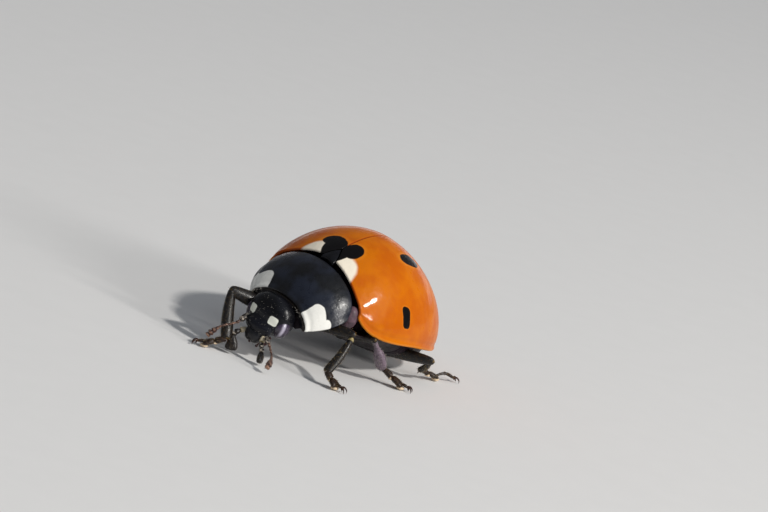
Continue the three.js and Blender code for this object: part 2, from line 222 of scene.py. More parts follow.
def closed(points: Array, faces: Array, chart: Array | None = None) -> Shell:
    """Merges points that coincide, drops flat triangles and turns the faces outwards.

    The sign of the volume, the sum of p0 . (p1 x p2) over the triangles, tells which way they face.

    Args:
        points: Points of the grids.
        faces: Triangles between them.
        chart: Surface parameters of the points.

    Returns:
        The closed shell.
    """
    points = points.reshape(-1, 3)
    chart = np.zeros_like(points) if chart is None else chart.reshape(-1, 3)
    _, first, where = np.unique(np.round(points, 6), axis=0, return_index=True, return_inverse=True)
    faces = where.reshape(-1)[faces]
    a, b, c = faces.T
    faces = faces[(a != b) & (b != c) & (c != a)]
    points = points[first]
    corners = points[faces]
    volume = np.einsum("ij,ij->", corners[:, 0], np.cross(corners[:, 1], corners[:, 2]))
    if volume < 0:
        faces = faces[:, ::-1]
    return Shell(points, faces, chart[first])


def pillow(outer: Array, inner: Array, chart: Array | None = None) -> Shell:
    """A closed plate: two grids that share their border.

    Args:
        outer: Rows and columns of points of the outer face.
        inner: The inner face, whose border is moved onto the outer one's.
        chart: Surface parameters, for both faces at once or for each.

    Returns:
        The closed shell.
    """
    rows, columns = outer.shape[:2]
    inner = inner.copy()
    for edge in (np.s_[0], np.s_[-1], np.s_[:, 0], np.s_[:, -1]):
        inner[edge] = outer[edge]
    faces = grid_faces(rows, columns, wrap=False)
    both = np.concatenate([faces, faces[:, ::-1] + rows * columns])
    if chart is not None and chart.ndim == outer.ndim:
        chart = np.stack([chart, chart])
    return closed(np.stack([outer, inner]), both, chart)


def rings(points: Array, chart: Array | None = None) -> Shell:
    """A closed shell from rings of points, with the two end rings closed on their middles.

    Args:
        points: One ring in each row.
        chart: Surface parameters.

    Returns:
        The closed shell.
    """
    columns = points.shape[1]
    chart = np.zeros_like(points) if chart is None else chart
    middles = np.repeat(points.mean(axis=1, keepdims=True), columns, axis=1)
    stack = np.concatenate([middles[:1], points, middles[-1:]])
    charts = np.concatenate([chart[:1], chart, chart[-1:]])
    return closed(stack, grid_faces(len(stack), columns, wrap=True), charts)


def join(shells: list[Shell]) -> Shell:
    """Several shells in one.

    Args:
        shells: The shells.

    Returns:
        One shell of them all.
    """
    starts = np.cumsum([0] + [len(shell.points) for shell in shells[:-1]])
    return Shell(
        np.concatenate([shell.points for shell in shells]),
        np.concatenate([shell.faces + start for shell, start in zip(shells, starts)]),
        np.concatenate([shell.chart for shell in shells]),
    )


def through(knots: Array, at: Array) -> Array:
    """A smooth path through knots: between two knots a cubic, whose slope at a knot is half the
    way from the knot before to the knot after.

    Args:
        knots: Points on the path.
        at: Fractions of the way, from 0 to 1.

    Returns:
        The points of the path there.
    """
    knots = np.asarray(knots, float)
    padded = np.vstack([2 * knots[0] - knots[1], knots, 2 * knots[-1] - knots[-2]])
    way = np.clip(at, 0.0, 1.0) * (len(knots) - 1)
    k = np.minimum(way.astype(int), len(knots) - 2)
    f = (way - k)[:, None]
    a, b, c, d = padded[k], padded[k + 1], padded[k + 2], padded[k + 3]
    squared = (2 * a - 5 * b + 4 * c - d) * f**2
    cubed = (3 * b - a - 3 * c + d) * f**3
    return 0.5 * (2 * b + (c - a) * f + squared + cubed)


def carry(path: Array, profile: Array, flat: Array, columns: int = 14) -> Shell:
    """An oval section carried along a path.

    The point at fraction s and angle t is path(s) + wide(s) cos(t) across + thick(s) sin(t) flat.

    Args:
        path: Knots of the path.
        profile: Rows of fraction along the path, half width and half thickness.
        flat: The direction in which the section is thin.
        columns: Points round the section.

    Returns:
        The closed shell. Its chart is the fraction, the angle and the row.
    """
    s = profile[:, 0]
    step = 1e-3
    centre = through(path, s)
    tangent = unit(through(path, s + step) - through(path, s - step))
    across = unit(np.cross(tangent, flat))
    up = np.cross(across, tangent)
    angle = circle(columns)
    wide = profile[:, 1, None, None] * np.cos(angle)[None, :, None] * across[:, None]
    thick = profile[:, 2, None, None] * np.sin(angle)[None, :, None] * up[:, None]
    rows = np.linspace(0, 1, len(s))
    chart = np.stack(np.broadcast_arrays(s[:, None], angle[None], rows[:, None]), -1)
    return rings(centre[:, None] + wide + thick, chart)


def limb(path: Array, knots: list[Point], flat: Array, rows: int = 40, columns: int = 14) -> Shell:
    """A length of limb: carry() with a smooth profile through a few knots and rounded ends."""
    return carry(path, through(knots, np.linspace(0, 1, rows)), flat, columns)


def widened(rows: Knots, wide: float, thick: float | None = None) -> list[Point]:
    """A profile with its half widths times a factor, and its half thicknesses too or times another."""
    return [(s, a * wide, b * (wide if thick is None else thick)) for s, a, b in rows]


def directions(rows: int, columns: int) -> Array:
    """Unit directions on rings from the lower pole to the upper: (cos a cos b, cos a sin b, sin a).

    Args:
        rows: Number of rings, with the two poles, which are left out.
        columns: Directions in each ring.

    Returns:
        One ring in each row.
    """
    tilt = np.linspace(-np.pi / 2, np.pi / 2, rows)[1:-1, None]
    angle = circle(columns)[None]
    flat = np.cos(tilt)
    return np.stack(np.broadcast_arrays(flat * np.cos(angle), flat * np.sin(angle), np.sin(tilt)), -1)


def ball(
    centre: Point, radii: Point, powers: Point = (1, 1, 1), rows: int = 32, columns: int = 48
) -> Shell:
    """A rounded block: centre + radius * sign(d) * |d|^power on each axis, for unit directions d.

    Args:
        centre: Its middle.
        radii: Its half sizes.
        powers: 1 on each axis for an ellipsoid, and less for squarer sides.
        rows: Rows from the lower pole to the upper.
        columns: Points round each.

    Returns:
        The closed shell.
    """
    d = directions(rows, columns)
    shape = np.sign(d) * np.abs(d) ** np.array(powers)
    return rings(np.array(centre) + np.array(radii) * shape)


def moved(shell: Shell, offset: Array) -> Shell:
    """The shell with its points moved by an offset."""
    return Shell(shell.points + offset, shell.faces, shell.chart)


# ---- Hairs ----

SPIKE = np.array(
    [[0, 2, 1], [0, 1, 4], [0, 4, 3], [1, 2, 5], [1, 5, 4]]
    + [[2, 0, 3], [2, 3, 5], [3, 4, 6], [4, 5, 6], [5, 3, 6]]
)  # triangles between the seven points of a hair: three at the root, three halfway, one at the tip


@dataclass(frozen=True)
class Coat:
    """A growth of hairs. Lengths are in millimetres."""

    count: int
    length: float
    radius: float = 0.0035
    lean: float = 0.9  # 0 stands straight up, more lies down along the comb direction
    spread: float = 0.35  # how far directions vary
    seed: int = 1

    def grow(self, shell: Shell, comb: Array, weight: Array | None = None) -> Shell:
        """Hairs on a shell: tapering three-sided spikes of two joints, bent along the comb.

        A root is a random point a + u (b - a) + v (c - a) of a triangle picked by area. The
        spike leans from the face's normal towards the comb direction.

        Args:
            shell: The surface they grow on.
            comb: The direction they lie in.
            weight: How densely each face is covered, from 0 to 1.

        Returns:
            All the hairs in one shell.
        """
        draw = np.random.default_rng(self.seed)
        corners = shell.points[shell.faces]
        normal = np.cross(corners[:, 1] - corners[:, 0], corners[:, 2] - corners[:, 0])
        share = np.linalg.norm(normal, axis=1) * (1.0 if weight is None else weight)
        pick = draw.choice(len(share), self.count, p=share / share.sum())
        u, v = draw.random((2, self.count, 1))
        u, v = np.where(u + v > 1, 1 - u, u), np.where(u + v > 1, 1 - v, v)
        a, b, c = np.moveaxis(corners[pick], 1, 0)
        roots = a + u * (b - a) + v * (c - a)
        stray = self.spread * draw.normal(size=(self.count, 3))
        out = unit(normal[pick])
        start = unit(out + 0.5 * self.lean * unit(comb) + stray)
        end = unit(0.5 * out + self.lean * unit(comb) + stray)
        long = self.length * draw.uniform(0.6, 1.1, (self.count, 1))
        middle = roots + 0.5 * long * start
        tip = middle + 0.5 * long * end
        side = unit(np.cross(start, [0.31, 0.52, 0.79]))
        angle = np.array([0, 2, 4]) * np.pi / 3
        ring = np.cos(angle)[None, :, None] * side[:, None]
        ring = ring + np.sin(angle)[None, :, None] * np.cross(start, side)[:, None]
        base = (roots - 0.01 * out)[:, None] + self.radius * ring
        upper = middle[:, None] + 0.75 * self.radius * ring
        points = np.concatenate([base, upper, tip[:, None]], axis=1)
        faces = (SPIKE[None] + 7 * np.arange(self.count)[:, None, None]).reshape(-1, 3)
        points = points.reshape(-1, 3)
        return Shell(points, faces, np.zeros_like(points))


# ---- Pieces ----


def link(name: str, data: bpy.types.ID) -> bpy.types.Object:
    """Makes an object for a mesh, light or camera and puts it into the scene.

    Args:
        name: Name of the object.
        data: What it holds.

    Returns:
        The object.
    """
    made = bpy.data.objects.new(name, data)
    bpy.context.scene.collection.objects.link(made)
    return made


def make_piece(
    name: str,
    parts: list[tuple[Shell, Material]],
    stands_for: tuple[str, ...],
    space: Space = Space.BODY,
) -> bpy.types.Object:
    """Puts shells into one mesh object and ties it to the frame.

    Args:
        name: Name of the piece.
        parts: Shells, each with its material.
        stands_for: The CAD nodes it replaces.
        space: The frame of the shells' points.

    Returns:
        The object.
    """
    whole = join([shell for shell, _ in parts])
    materials = list(dict.fromkeys(material for _, material in parts))
    counts = [len(shell.faces) for shell, _ in parts]
    kinds = np.repeat([materials.index(material) for _, material in parts], counts)
    mesh = bpy.data.meshes.new(name)
    mesh.vertices.add(len(whole.points))
    mesh.vertices.foreach_set("co", STANCE.place(whole.points, space).ravel())
    mesh.loops.add(whole.faces.size)
    mesh.loops.foreach_set("vertex_index", whole.faces.ravel())
    mesh.polygons.add(len(whole.faces))
    mesh.polygons.foreach_set("loop_start", np.arange(0, whole.faces.size, 3))
    mesh.polygons.foreach_set("material_index", kinds)
    mesh.polygons.foreach_set("use_smooth", np.ones(len(whole.faces), bool))
    for label, values in (("body", whole.points), ("chart", whole.chart)):
        mesh.attributes.new(label, "FLOAT_VECTOR", "POINT").data.foreach_set("vector", values.ravel())
    mesh.update()
    mesh.validate()
    for material in materials:
        mesh.materials.append(material)
    made = link(name, mesh)
    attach(made, "root")
    if stands_for:
        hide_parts(*stands_for)
    lowest = STANCE.place(whole.points, space)[:, 2].min() / METRES
    LOG.info("%s: %d triangles, lowest point %.3f mm up", name, len(whole.faces), lowest)
    return made


# ---- Material graphs ----

CLOUD = (0.3, 0.7)  # the range that noise mostly keeps to


class Graph:
    """A material's node tree, with short calls for the nodes that the finishes use."""

    def __init__(self, name: str) -> None:
        """Starts a material with its principled shader.

        Args:
            name: Name of the material.
        """
        self.material = bpy.data.materials.new(name)
        self.material.use_nodes = True
        self.tree = self.material.node_tree
        self.shader = self.tree.nodes["Principled BSDF"]

    def feed(self, socket: Socket, value: Value) -> None:
        """Links a socket to a value that is a socket, or sets it to one that is a constant.

        Args:
            socket: The input.
            value: A socket, number, colour or vector.
        """
        if isinstance(value, bpy.types.NodeSocket):
            self.tree.links.new(value, socket)
        else:
            socket.default_value = (*value, 1.0) if socket.type == "RGBA" and len(value) == 3 else value

    def node(self, kind: str, inputs: dict, **settings: object) -> bpy.types.Node:
        """Adds a node.

        Args:
            kind: Its type, without the leading ShaderNode.
            inputs: Values for its inputs by name or number.
            settings: Its other properties.

        Returns:
            The node.
        """
        made = self.tree.nodes.new("ShaderNode" + kind)
        for key, value in settings.items():
            setattr(made, key, value)
        for key, value in inputs.items():
            self.feed(made.inputs[key], value)
        return made

    def attribute(self, name: str) -> Socket:
        """A vector that is stored on the mesh."""
        return self.node("Attribute", {}, attribute_name=name).outputs["Vector"]

    def math(self, operation: str, *values: Value) -> Socket:
        """A number worked out from others."""
        return self.node("Math", dict(enumerate(values)), operation=operation).outputs[0]

    def times(self, first: Value, second: Value) -> Socket:
        """The product of two numbers."""
        return self.math("MULTIPLY", first, second)

    def nearest(self, distances: list[Socket]) -> Socket:
        """The smallest of some distances."""
        return reduce(lambda least, other: self.math("MINIMUM", least, other), distances)

    def vector(self, operation: str, *values: Value) -> Socket:
        """A vector worked out from others, or its length as a number."""
        made = self.node("VectorMath", dict(enumerate(values)), operation=operation)
        return made.outputs["Value" if operation == "LENGTH" else "Vector"]

    def scaled(self, vector: Value, factor: Value) -> Socket:
        """A vector times a number, which is the fourth input."""
        return self.vector("SCALE", vector, (0, 0, 0), (0, 0, 0), factor)

    def part(self, vector: Socket, axis: str) -> Socket:
        """The X, Y or Z of a vector."""
        return self.node("SeparateXYZ", {0: vector}).outputs[axis]

    def noise(self, point: Socket, scale: float, detail: float = 2.0) -> Socket:
        """Cloudy noise from about 0.3 to 0.7, with scale in waves per millimetre."""
        return self.node("TexNoise", {"Vector": point, "Scale": scale, "Detail": detail}).outputs[0]

    def cells(self, point: Socket, scale: float) -> Socket:
        """Distance to the nearest of scattered points, with scale in points per millimetre."""
        return self.node("TexVoronoi", {"Vector": point, "Scale": scale}).outputs["Distance"]

    def step(self, value: Value, start: float, end: float) -> Socket:
        """A smooth step from 0 at start to 1 at end. End may be the smaller."""
        inputs = {"Value": value, "From Min": start, "From Max": end}
        return self.node("MapRange", inputs, interpolation_type="SMOOTHSTEP").outputs[0]

    def range(self, value: Value, low: float, high: float) -> Socket:
        """A number from 0.3 to 0.7 stretched to lie from low to high."""
        inputs = {"Value": value, "From Min": CLOUD[0], "From Max": CLOUD[1], "To Min": low, "To Max": high}
        return self.node("MapRange", inputs).outputs[0]

    def blend(self, share: Value, first: Value, second: Value) -> Socket:
        """A colour between two: the first at share 0 and the second at share 1."""
        return self.node("Mix", {0: share, 6: first, 7: second}, data_type="RGBA").outputs[2]

    def oval(self, point: Socket, centre: Point, radii: Point) -> Socket:
        """Distance from a centre in radii: 1 on the ellipsoid, less inside it."""
        away = self.vector("SUBTRACT", point, centre)
        return self.vector("LENGTH", self.vector("DIVIDE", away, radii))

    def block(self, point: Socket, centre: Point, half: Point, corner: float) -> Socket:
        """Distance from a box in corner radii: 1 on the box's rounded outline, 0 inside the box.

        Args:
            point: The point to measure.
            centre: The middle of the box.
            half: Its half sizes.
            corner: The radius of its rounding.

        Returns:
            The distance.
        """
        away = self.vector("ABSOLUTE", self.vector("SUBTRACT", point, centre))
        past = self.vector("MAXIMUM", self.vector("SUBTRACT", away, half), (0.0, 0.0, 0.0))
        return self.times(self.vector("LENGTH", past), 1 / corner)

    def mirrored(self, point: Socket) -> Socket:
        """The point with its X made positive, for marks that both sides share.

        Args:
            point: The point.

        Returns:
            The point on the left.
        """
        axes = self.node("SeparateXYZ", {0: point}).outputs
        aside = self.math("ABSOLUTE", axes[0])
        return self.node("CombineXYZ", {0: aside, 1: axes[1], 2: axes[2]}).outputs[0]

    def wobbled(self, point: Socket, scale: float, amount: float) -> Socket:
        """The point moved by noise, so that the edge of a mark isn't a perfect curve.

        Args:
            point: The point.
            scale: Waves of the noise per millimetre.
            amount: How far the noise moves it.

        Returns:
            The moved point.
        """
        cloud = self.node("TexNoise", {"Vector": point, "Scale": scale, "Detail": 2.0}).outputs["Color"]
        shift = self.vector("SUBTRACT", cloud, (0.5, 0.5, 0.5))
        return self.vector("ADD", point, self.scaled(shift, amount))

    def relief(self, height: Socket, depth: float, below: Socket | None = None) -> Socket:
        """A bumped normal.

        Args:
            height: The relief, from 0 to 1.
            depth: Its height in millimetres.
            below: The normal of a relief under it.

        Returns:
            The normal.
        """
        inputs = {"Height": height, "Distance": depth * METRES, "Strength": 1.0}
        if below is not None:
            inputs["Normal"] = below
        return self.node("Bump", inputs).outputs[0]

    def finish(self, **sockets: Value) -> Material:
        """Feeds the shader and returns the material. Underscores in names stand for spaces.

        Args:
            sockets: Values for the shader's inputs.

        Returns:
            The material.
        """
        for name, value in sockets.items():
            self.feed(self.shader.inputs[name.replace("_", " ")], value)
        return self.material


# ---- Finishes ----

BLACK: Colour = (0.003, 0.003, 0.0042)
SOOT: Colour = (0.007, 0.0075, 0.012)
CREAM: Colour = (0.88, 0.8, 0.66)
CHALK: Colour = (0.86, 0.85, 0.8)


@dataclass(frozen=True)
class Chitin:
    """Hard skin with fine pits: two colours in soft patches, and a polished coat."""

    name: str
    colour: Colour = BLACK
    shade: Colour = SOOT
    patches: float = 1.5  # patches per millimetre
    roughness: float = 0.3
    shine: float = 0.25
    coat: float = 0.0
    pits: float = 16.0  # pits per millimetre
    pit_depth: float = 0.004

    def paint(self, graph: Graph, point: Socket) -> Socket:
        """The colour of the skin."""
        share = graph.step(graph.noise(point, self.patches), 0.35, 0.65)
        return graph.blend(share, self.colour, self.shade)

    def surface(self, graph: Graph, point: Socket) -> Socket:
        """Pits where scattered points are near, over a faint unevenness.

        Args:
            graph: The graph to build in.
            point: The point's place in millimetres.

        Returns:
            The bumped normal.
        """
        pits = graph.step(graph.cells(graph.wobbled(point, 5.0, 0.04), self.pits), 0.08, 0.34)
        uneven = graph.relief(graph.noise(point, 2.2, 3.0), 0.03)
        return graph.relief(pits, self.pit_depth, uneven)

    def dress(self) -> Material:
        """Builds the material.

        Returns:
            The material.
        """
        graph = Graph(self.name)
        point = graph.attribute("body")
        gloss = graph.range(graph.noise(point, 6.0, 3.0), self.roughness * 0.75, self.roughness * 1.3)
        return graph.finish(
            Base_Color=self.paint(graph, point),
            Roughness=gloss,
            Normal=self.surface(graph, point),
            Specular_IOR_Level=self.shine,
            Coat_Weight=self.coat,
            Coat_Roughness=0.07,
            Coat_IOR=1.42,
        )


@dataclass(frozen=True)
class WingCaseChitin(Chitin):
    """Polished orange with black spots, cream shoulder patches and a thin paler margin."""

    name: str = "wing_case_orange"
    colour: Colour = (0.565, 0.143, 0.0008)
    shade: Colour = (0.5, 0.105, 0.001)
    roughness: float = 0.35
    shine: float = 0.05
    coat: float = 0.25
    pits: float = 11.0
    pit_depth: float = 0.0016
    amber: Colour = (0.74, 0.27, 0.02)  # round the spots and along the margin
    seam_shade: Colour = (0.34, 0.06, 0.004)  # painted shade along the seam and the base, where the parts meet
    spot_black: Colour = (0.004, 0.0035, 0.004)
    side_spot: tuple = ((2.4, 1.95, 0.92), (2.0, 0.06, 0.2), 0.1)
    side_lean: float = 0.22  # how far the side spot leans back for each millimetre up
    paired_spots: tuple = (
        ((1.04, 2.72, 1.9), (0.22, 0.5, 3.0)), ((1.3, 4.45, 1.5), (0.34, 0.38, 3.0)),
    )
    seam_spots: tuple = (
        ((-0.47, 0.8, 1.9), (0.36, 0.24, 3.0)), ((-0.26, 0.6, 1.9), (0.32, 0.38, 3.0)),
        ((0.31, 0.83, 1.9), (0.29, 0.3, 3.0)), ((0.14, 0.6, 1.9), (0.24, 0.36, 3.0)),
    )  # ovals that merge into the spot behind the scutellum
    shoulder: tuple = ((0.62, 0.2, 1.4), (0.46, 0.45, 3.0))  # the cream patch

    def spots(self, graph: Graph, point: Socket) -> tuple[Socket, Socket]:
        """How far the point lies from the nearest black spot.

        Args:
            graph: The graph to build in.
            point: The point's place in millimetres.

        Returns:
            The distance, 1 at a spot's edge, and the same for the cream patches.
        """
        rough = graph.wobbled(point, 2.6, 0.09)
        both = graph.mirrored(rough)
        lean = graph.scaled((0, 1, 0), self.lean(graph, both))
        spots = [graph.block(graph.vector("ADD", both, lean), *self.side_spot)]
        spots += [graph.oval(both, *spot) for spot in self.paired_spots]
        spots += [graph.oval(rough, *spot) for spot in self.seam_spots]
        return graph.nearest(spots), graph.oval(both, *self.shoulder)

    def lean(self, graph: Graph, point: Socket) -> Socket:
        """How far the side spot leans backwards with the height."""
        up = graph.math("SUBTRACT", graph.part(point, "Z"), self.side_spot[0][2])
        return graph.times(up, self.side_lean)

    def paint(self, graph: Graph, point: Socket) -> Socket:
        """The orange, then its margins with painted shade at the seam and the base, the cream patches and
        the spots over it.

        Args:
            graph: The graph to build in.
            point: The point's place in millimetres.

        Returns:
            The colour.
        """
        spot, patch = self.spots(graph, point)
        chart = graph.attribute("chart")
        skin = Chitin.paint(self, graph, point)
        skin = graph.blend(graph.times(graph.step(spot, 1.5, 1.0), 0.3), skin, self.amber)
        # painted shade: darker along the seam between the wing cases and along the base
        skin = graph.blend(graph.step(graph.part(chart, "X"), 0.03, 0.01), skin, self.seam_shade)
        skin = graph.blend(graph.step(graph.part(chart, "Y"), 0.06, 0.02), skin, self.seam_shade)
        margin = graph.times(graph.step(graph.part(chart, "Z"), 0.12, 0.03), 0.6)
        skin = graph.blend(margin, skin, self.amber)
        skin = graph.blend(graph.step(patch, 1.12, 0.86), skin, CREAM)
        return graph.blend(graph.step(spot, 1.05, 0.95), skin, self.spot_black)


@dataclass(frozen=True)
class PronotumChitin(Chitin):
    """Polished black with cream corners in front and a brown front edge."""

    name: str = "pronotum_black"
    # random patches of bluish black; their blue is partly a painted reflection of the sky
    shade: Colour = (0.01, 0.013, 0.024)
    pits: float = 15.0
    pit_depth: float = 0.0014
    shine: float = 0.4
    brown: Colour = (0.012, 0.008, 0.006)
    left_marks: tuple = (
        ((0.81, 0.14, 0.0), (0.21, 0.13, 0.3), 0.13),
        ((0.95, 0.4, 0.0), (0.17, 0.13, 0.5)),
    )  # a block and an oval that make up the cream corner
    right_marks: tuple = (
        ((-0.78, 0.1, 0.0), (0.28, 0.12, 0.3), 0.12),
        ((-0.88, 0.3, 0.0), (0.14, 0.12, 0.5)),
    )

    def paint(self, graph: Graph, point: Socket) -> Socket:
        """The black, with the brown edge and the cream corners over it.

        Args:
            graph: The graph to build in.
            point: The point's place in millimetres.

        Returns:
            The colour.
        """
        chart = graph.wobbled(graph.attribute("chart"), 5.0, 0.03)
        marks = []
        for block, oval in (self.left_marks, self.right_marks):
            marks += [graph.block(chart, *block), graph.oval(chart, *oval)]
        nearest = graph.nearest(marks)
        ahead = graph.part(chart, "Y")
        skin = Chitin.paint(self, graph, point)
        skin = graph.blend(graph.step(ahead, 0.03, 0.01), skin, self.brown)
        cream = graph.times(graph.step(nearest, 1.06, 0.94), graph.step(ahead, 0.015, 0.03))
        return graph.blend(cream, skin, CHALK)


@dataclass(frozen=True)
class HeadChitin(Chitin):
    """Black with a pale spot inside each eye."""

    name: str = "head_black"
    roughness: float = 0.26
    pits: float = 20.0
    pit_depth: float = 0.0035
    spot: tuple = ((0.43, -1.56, -0.76), (0.055, 0.5, 0.055), 0.085)
    ivory: Colour = (0.86, 0.87, 0.77)

    def paint(self, graph: Graph, point: Socket) -> Socket:
        """The black, with the two spots over it.

        Args:
            graph: The graph to build in.
            point: The point's place in millimetres.

        Returns:
            The colour.
        """
        both = graph.mirrored(graph.wobbled(point, 5.0, 0.05))
        spot = graph.block(both, *self.spot)
        front = graph.step(graph.part(point, "Y"), -1.2, -1.3)
        mask = graph.times(graph.step(spot, 1.08, 0.92), front)
        return graph.blend(mask, Chitin.paint(self, graph, point), self.ivory)


@dataclass(frozen=True)
class EyeLens:
    """Near-black facets under a gloss, with a painted highlight: a pale band."""

    name: str = "eye_facets"
    facets: float = 34.0  # facets per millimetre
    painted_highlight: Colour = (0.6, 0.56, 0.68)  # painted highlight: the pale band down the middle
    highlight_band: tuple[Point, Point] = ((0.74, -1.3, -0.84), (0.1, 0.065, 0.3))
    dark: Colour = (0.014, 0.008, 0.02)
    light: Colour = (0.036, 0.022, 0.05)

    def dress(self) -> Material:
        """Builds the material: a honeycomb of shallow domes, with the painted highlight band over them.

        Returns:
            The material.
        """
        graph = Graph(self.name)
        point = graph.attribute("body")
        domes = graph.step(graph.cells(point, self.facets), 0.5, 0.05)
        tint = graph.blend(graph.step(graph.noise(point, 3.0), 0.4, 0.6), self.dark, self.light)
        rough = graph.mirrored(graph.wobbled(point, 6.0, 0.05))
        highlight_band = graph.oval(rough, *self.highlight_band)
        # painted highlight: a pale band blended into the eye's colour
        tint = graph.blend(graph.times(graph.step(highlight_band, 1.3, 0.3), 0.7), tint, self.painted_highlight)
        return graph.finish(
            Base_Color=tint,
            Roughness=graph.range(graph.noise(point, 9.0), 0.24, 0.34),
            Normal=graph.relief(domes, 0.0012),
            Specular_IOR_Level=0.6,
            Coat_Weight=0.4,
            Coat_Roughness=0.12,
        )


@dataclass(frozen=True)
class JointedSkin:
    """Skin of legs, feelers and palps: darker in the middle of a length, paler at its ends."""

    name: str
    colour: Colour
    ends: Colour
    edge: float = 0.1  # share of the length that is paler
    roughness: float = 0.34
    specks: float = 0.3
    shine: float = 0.35

    def dress(self) -> Material:
        """Builds the material. The chart's X runs from 0 to 1 along the length.

        Returns:
            The material.
        """
        graph = Graph(self.name)
        point = graph.attribute("body")
        along = graph.part(graph.attribute("chart"), "X")
        inner = graph.math("ABSOLUTE", graph.math("SUBTRACT", along, 0.5))
        cloudy = graph.math("ADD", inner, graph.times(graph.noise(point, 7.0), 0.1))
        share = graph.step(cloudy, 0.55 - self.edge, 0.55)
        speck = graph.step(graph.noise(point, 14.0, 3.0), 0.45, 0.65)
        dark = graph.blend(graph.times(speck, self.specks), self.colour, self.ends)
        gloss = graph.range(graph.noise(point, 10.0, 3.0), self.roughness * 0.7, self.roughness * 1.3)
        return graph.finish(
            Base_Color=graph.blend(share, dark, self.ends),
            Roughness=gloss,
            Normal=graph.relief(graph.step(graph.cells(point, 24.0), 0.1, 0.5), 0.004),
            Specular_IOR_Level=self.shine,
        )


@dataclass(frozen=True)
class Bristle:
    """Fine hair, darker and lighter from hair to hair."""

    name: str
    colour: Colour
    pale: Colour
    roughness: float = 0.35

    def dress(self) -> Material:
        """Builds the material.

        Returns:
            The material.
        """
        graph = Graph(self.name)
        point = graph.attribute("body")
        share = graph.step(graph.noise(point, 30.0), 0.35, 0.65)
        return graph.finish(
            Base_Color=graph.blend(share, self.colour, self.pale),
            Roughness=graph.range(graph.noise(point, 20.0), self.roughness * 0.8, self.roughness * 1.2),
            Specular_IOR_Level=0.6,
        )


@dataclass(frozen=True)
class FloorPaint:
    """Matt pale board with a very faint grain."""

    name: str = "pale_floor"
    colour: Colour = (0.78, 0.775, 0.77)

    def dress(self) -> Material:
        """Builds the material.

        Returns:
            The material.
        """
        graph = Graph(self.name)
        point = graph.node("TexCoord", {}).outputs["Object"]
        other = tuple(0.97 * part for part in self.colour)
        return graph.finish(
            Base_Color=graph.blend(graph.noise(point, 900.0), self.colour, other),
            Roughness=0.9,
            Specular_IOR_Level=0.2,
        )


def dressed(finish: Chitin | EyeLens | JointedSkin | Bristle) -> Any:
    """A dataclass field that holds the finish's material, built when its class is made."""
    return field(default_factory=finish.dress)


@dataclass(frozen=True)
class Finishes:
    """Every material of the model, made once. The first of two colours is the finish's own, and
    the second is its shade, its ends or its paler hairs."""

    wing: Material = dressed(WingCaseChitin())
    pronotum: Material = dressed(PronotumChitin())
    head: Material = dressed(HeadChitin())
    trunk: Material = dressed(
        Chitin(
            "trunk_black",
            (0.006, 0.003, 0.005), (0.016, 0.009, 0.014),
            roughness=0.36,
            shine=0.13,
            pits=13.0,
            pit_depth=0.006,
        )
    )
    scutellum: Material = dressed(Chitin("scutellum_black"))
    lip: Material = dressed(Chitin("lip_black", shine=0.5, pits=26.0, pit_depth=0.003))
    eye: Material = dressed(EyeLens())
    mouth: Material = dressed(JointedSkin("mouth_brown", (0.035, 0.009, 0.009), (0.09, 0.03, 0.022)))
    feeler: Material = dressed(
        JointedSkin("feeler_brown", (0.055, 0.023, 0.018), (0.32, 0.18, 0.12), edge=0.06, specks=0.65)
    )
    palp: Material = dressed(
        JointedSkin("palp_black", (0.008, 0.006, 0.006), (0.1, 0.065, 0.025), edge=0.03, specks=0.15)
    )
    joint: Material = dressed(JointedSkin("joint_cream", (0.6, 0.52, 0.38), (0.3, 0.24, 0.1), edge=0.08))
    speckled: Material = dressed(
        JointedSkin("palp_speckled", (0.01, 0.007, 0.007), (0.55, 0.48, 0.4), edge=0.05, specks=0.8)
    )
    leg: Material = dressed(
        JointedSkin("leg_black", (0.006, 0.005, 0.0055), (0.12, 0.075, 0.02), edge=0.03, specks=0.12)
    )
    # the side plates are pale; this dull pinkish grey is painted shade on them
    plate: Material = dressed(
        Chitin("side_plate_painted_shade", (0.13, 0.078, 0.1), (0.06, 0.038, 0.048), patches=5.0, roughness=0.4)
    )
    # painted reflection: the broad shin's grey middle stands in for the pale room reflected in its gloss;
    # its ends are dark
    shin: Material = dressed(
        JointedSkin("shin_painted_sheen", (0.17, 0.125, 0.16), (0.012, 0.009, 0.01), edge=0.06, specks=0.55)
    )
    foot: Material = dressed(
        JointedSkin("foot_brown", (0.016, 0.008, 0.005), (0.09, 0.045, 0.02), edge=0.06)
    )
    pad: Material = dressed(
        JointedSkin("pad_pale", (0.55, 0.4, 0.25), (0.7, 0.55, 0.38), edge=0.3, roughness=0.5)
    )
    claw: Material = dressed(
        JointedSkin("claw_dark", (0.03, 0.011, 0.007), (0.1, 0.04, 0.018), edge=0.2, roughness=0.25)
    )
    gold_hair: Material = dressed(Bristle("hair_gold", (0.1, 0.06, 0.02), (0.5, 0.38, 0.18)))
    pale_hair: Material = dressed(Bristle("hair_pale", (0.22, 0.2, 0.18), (0.6, 0.57, 0.5)))


# ---- Wing cases, scutellum and trunk ----


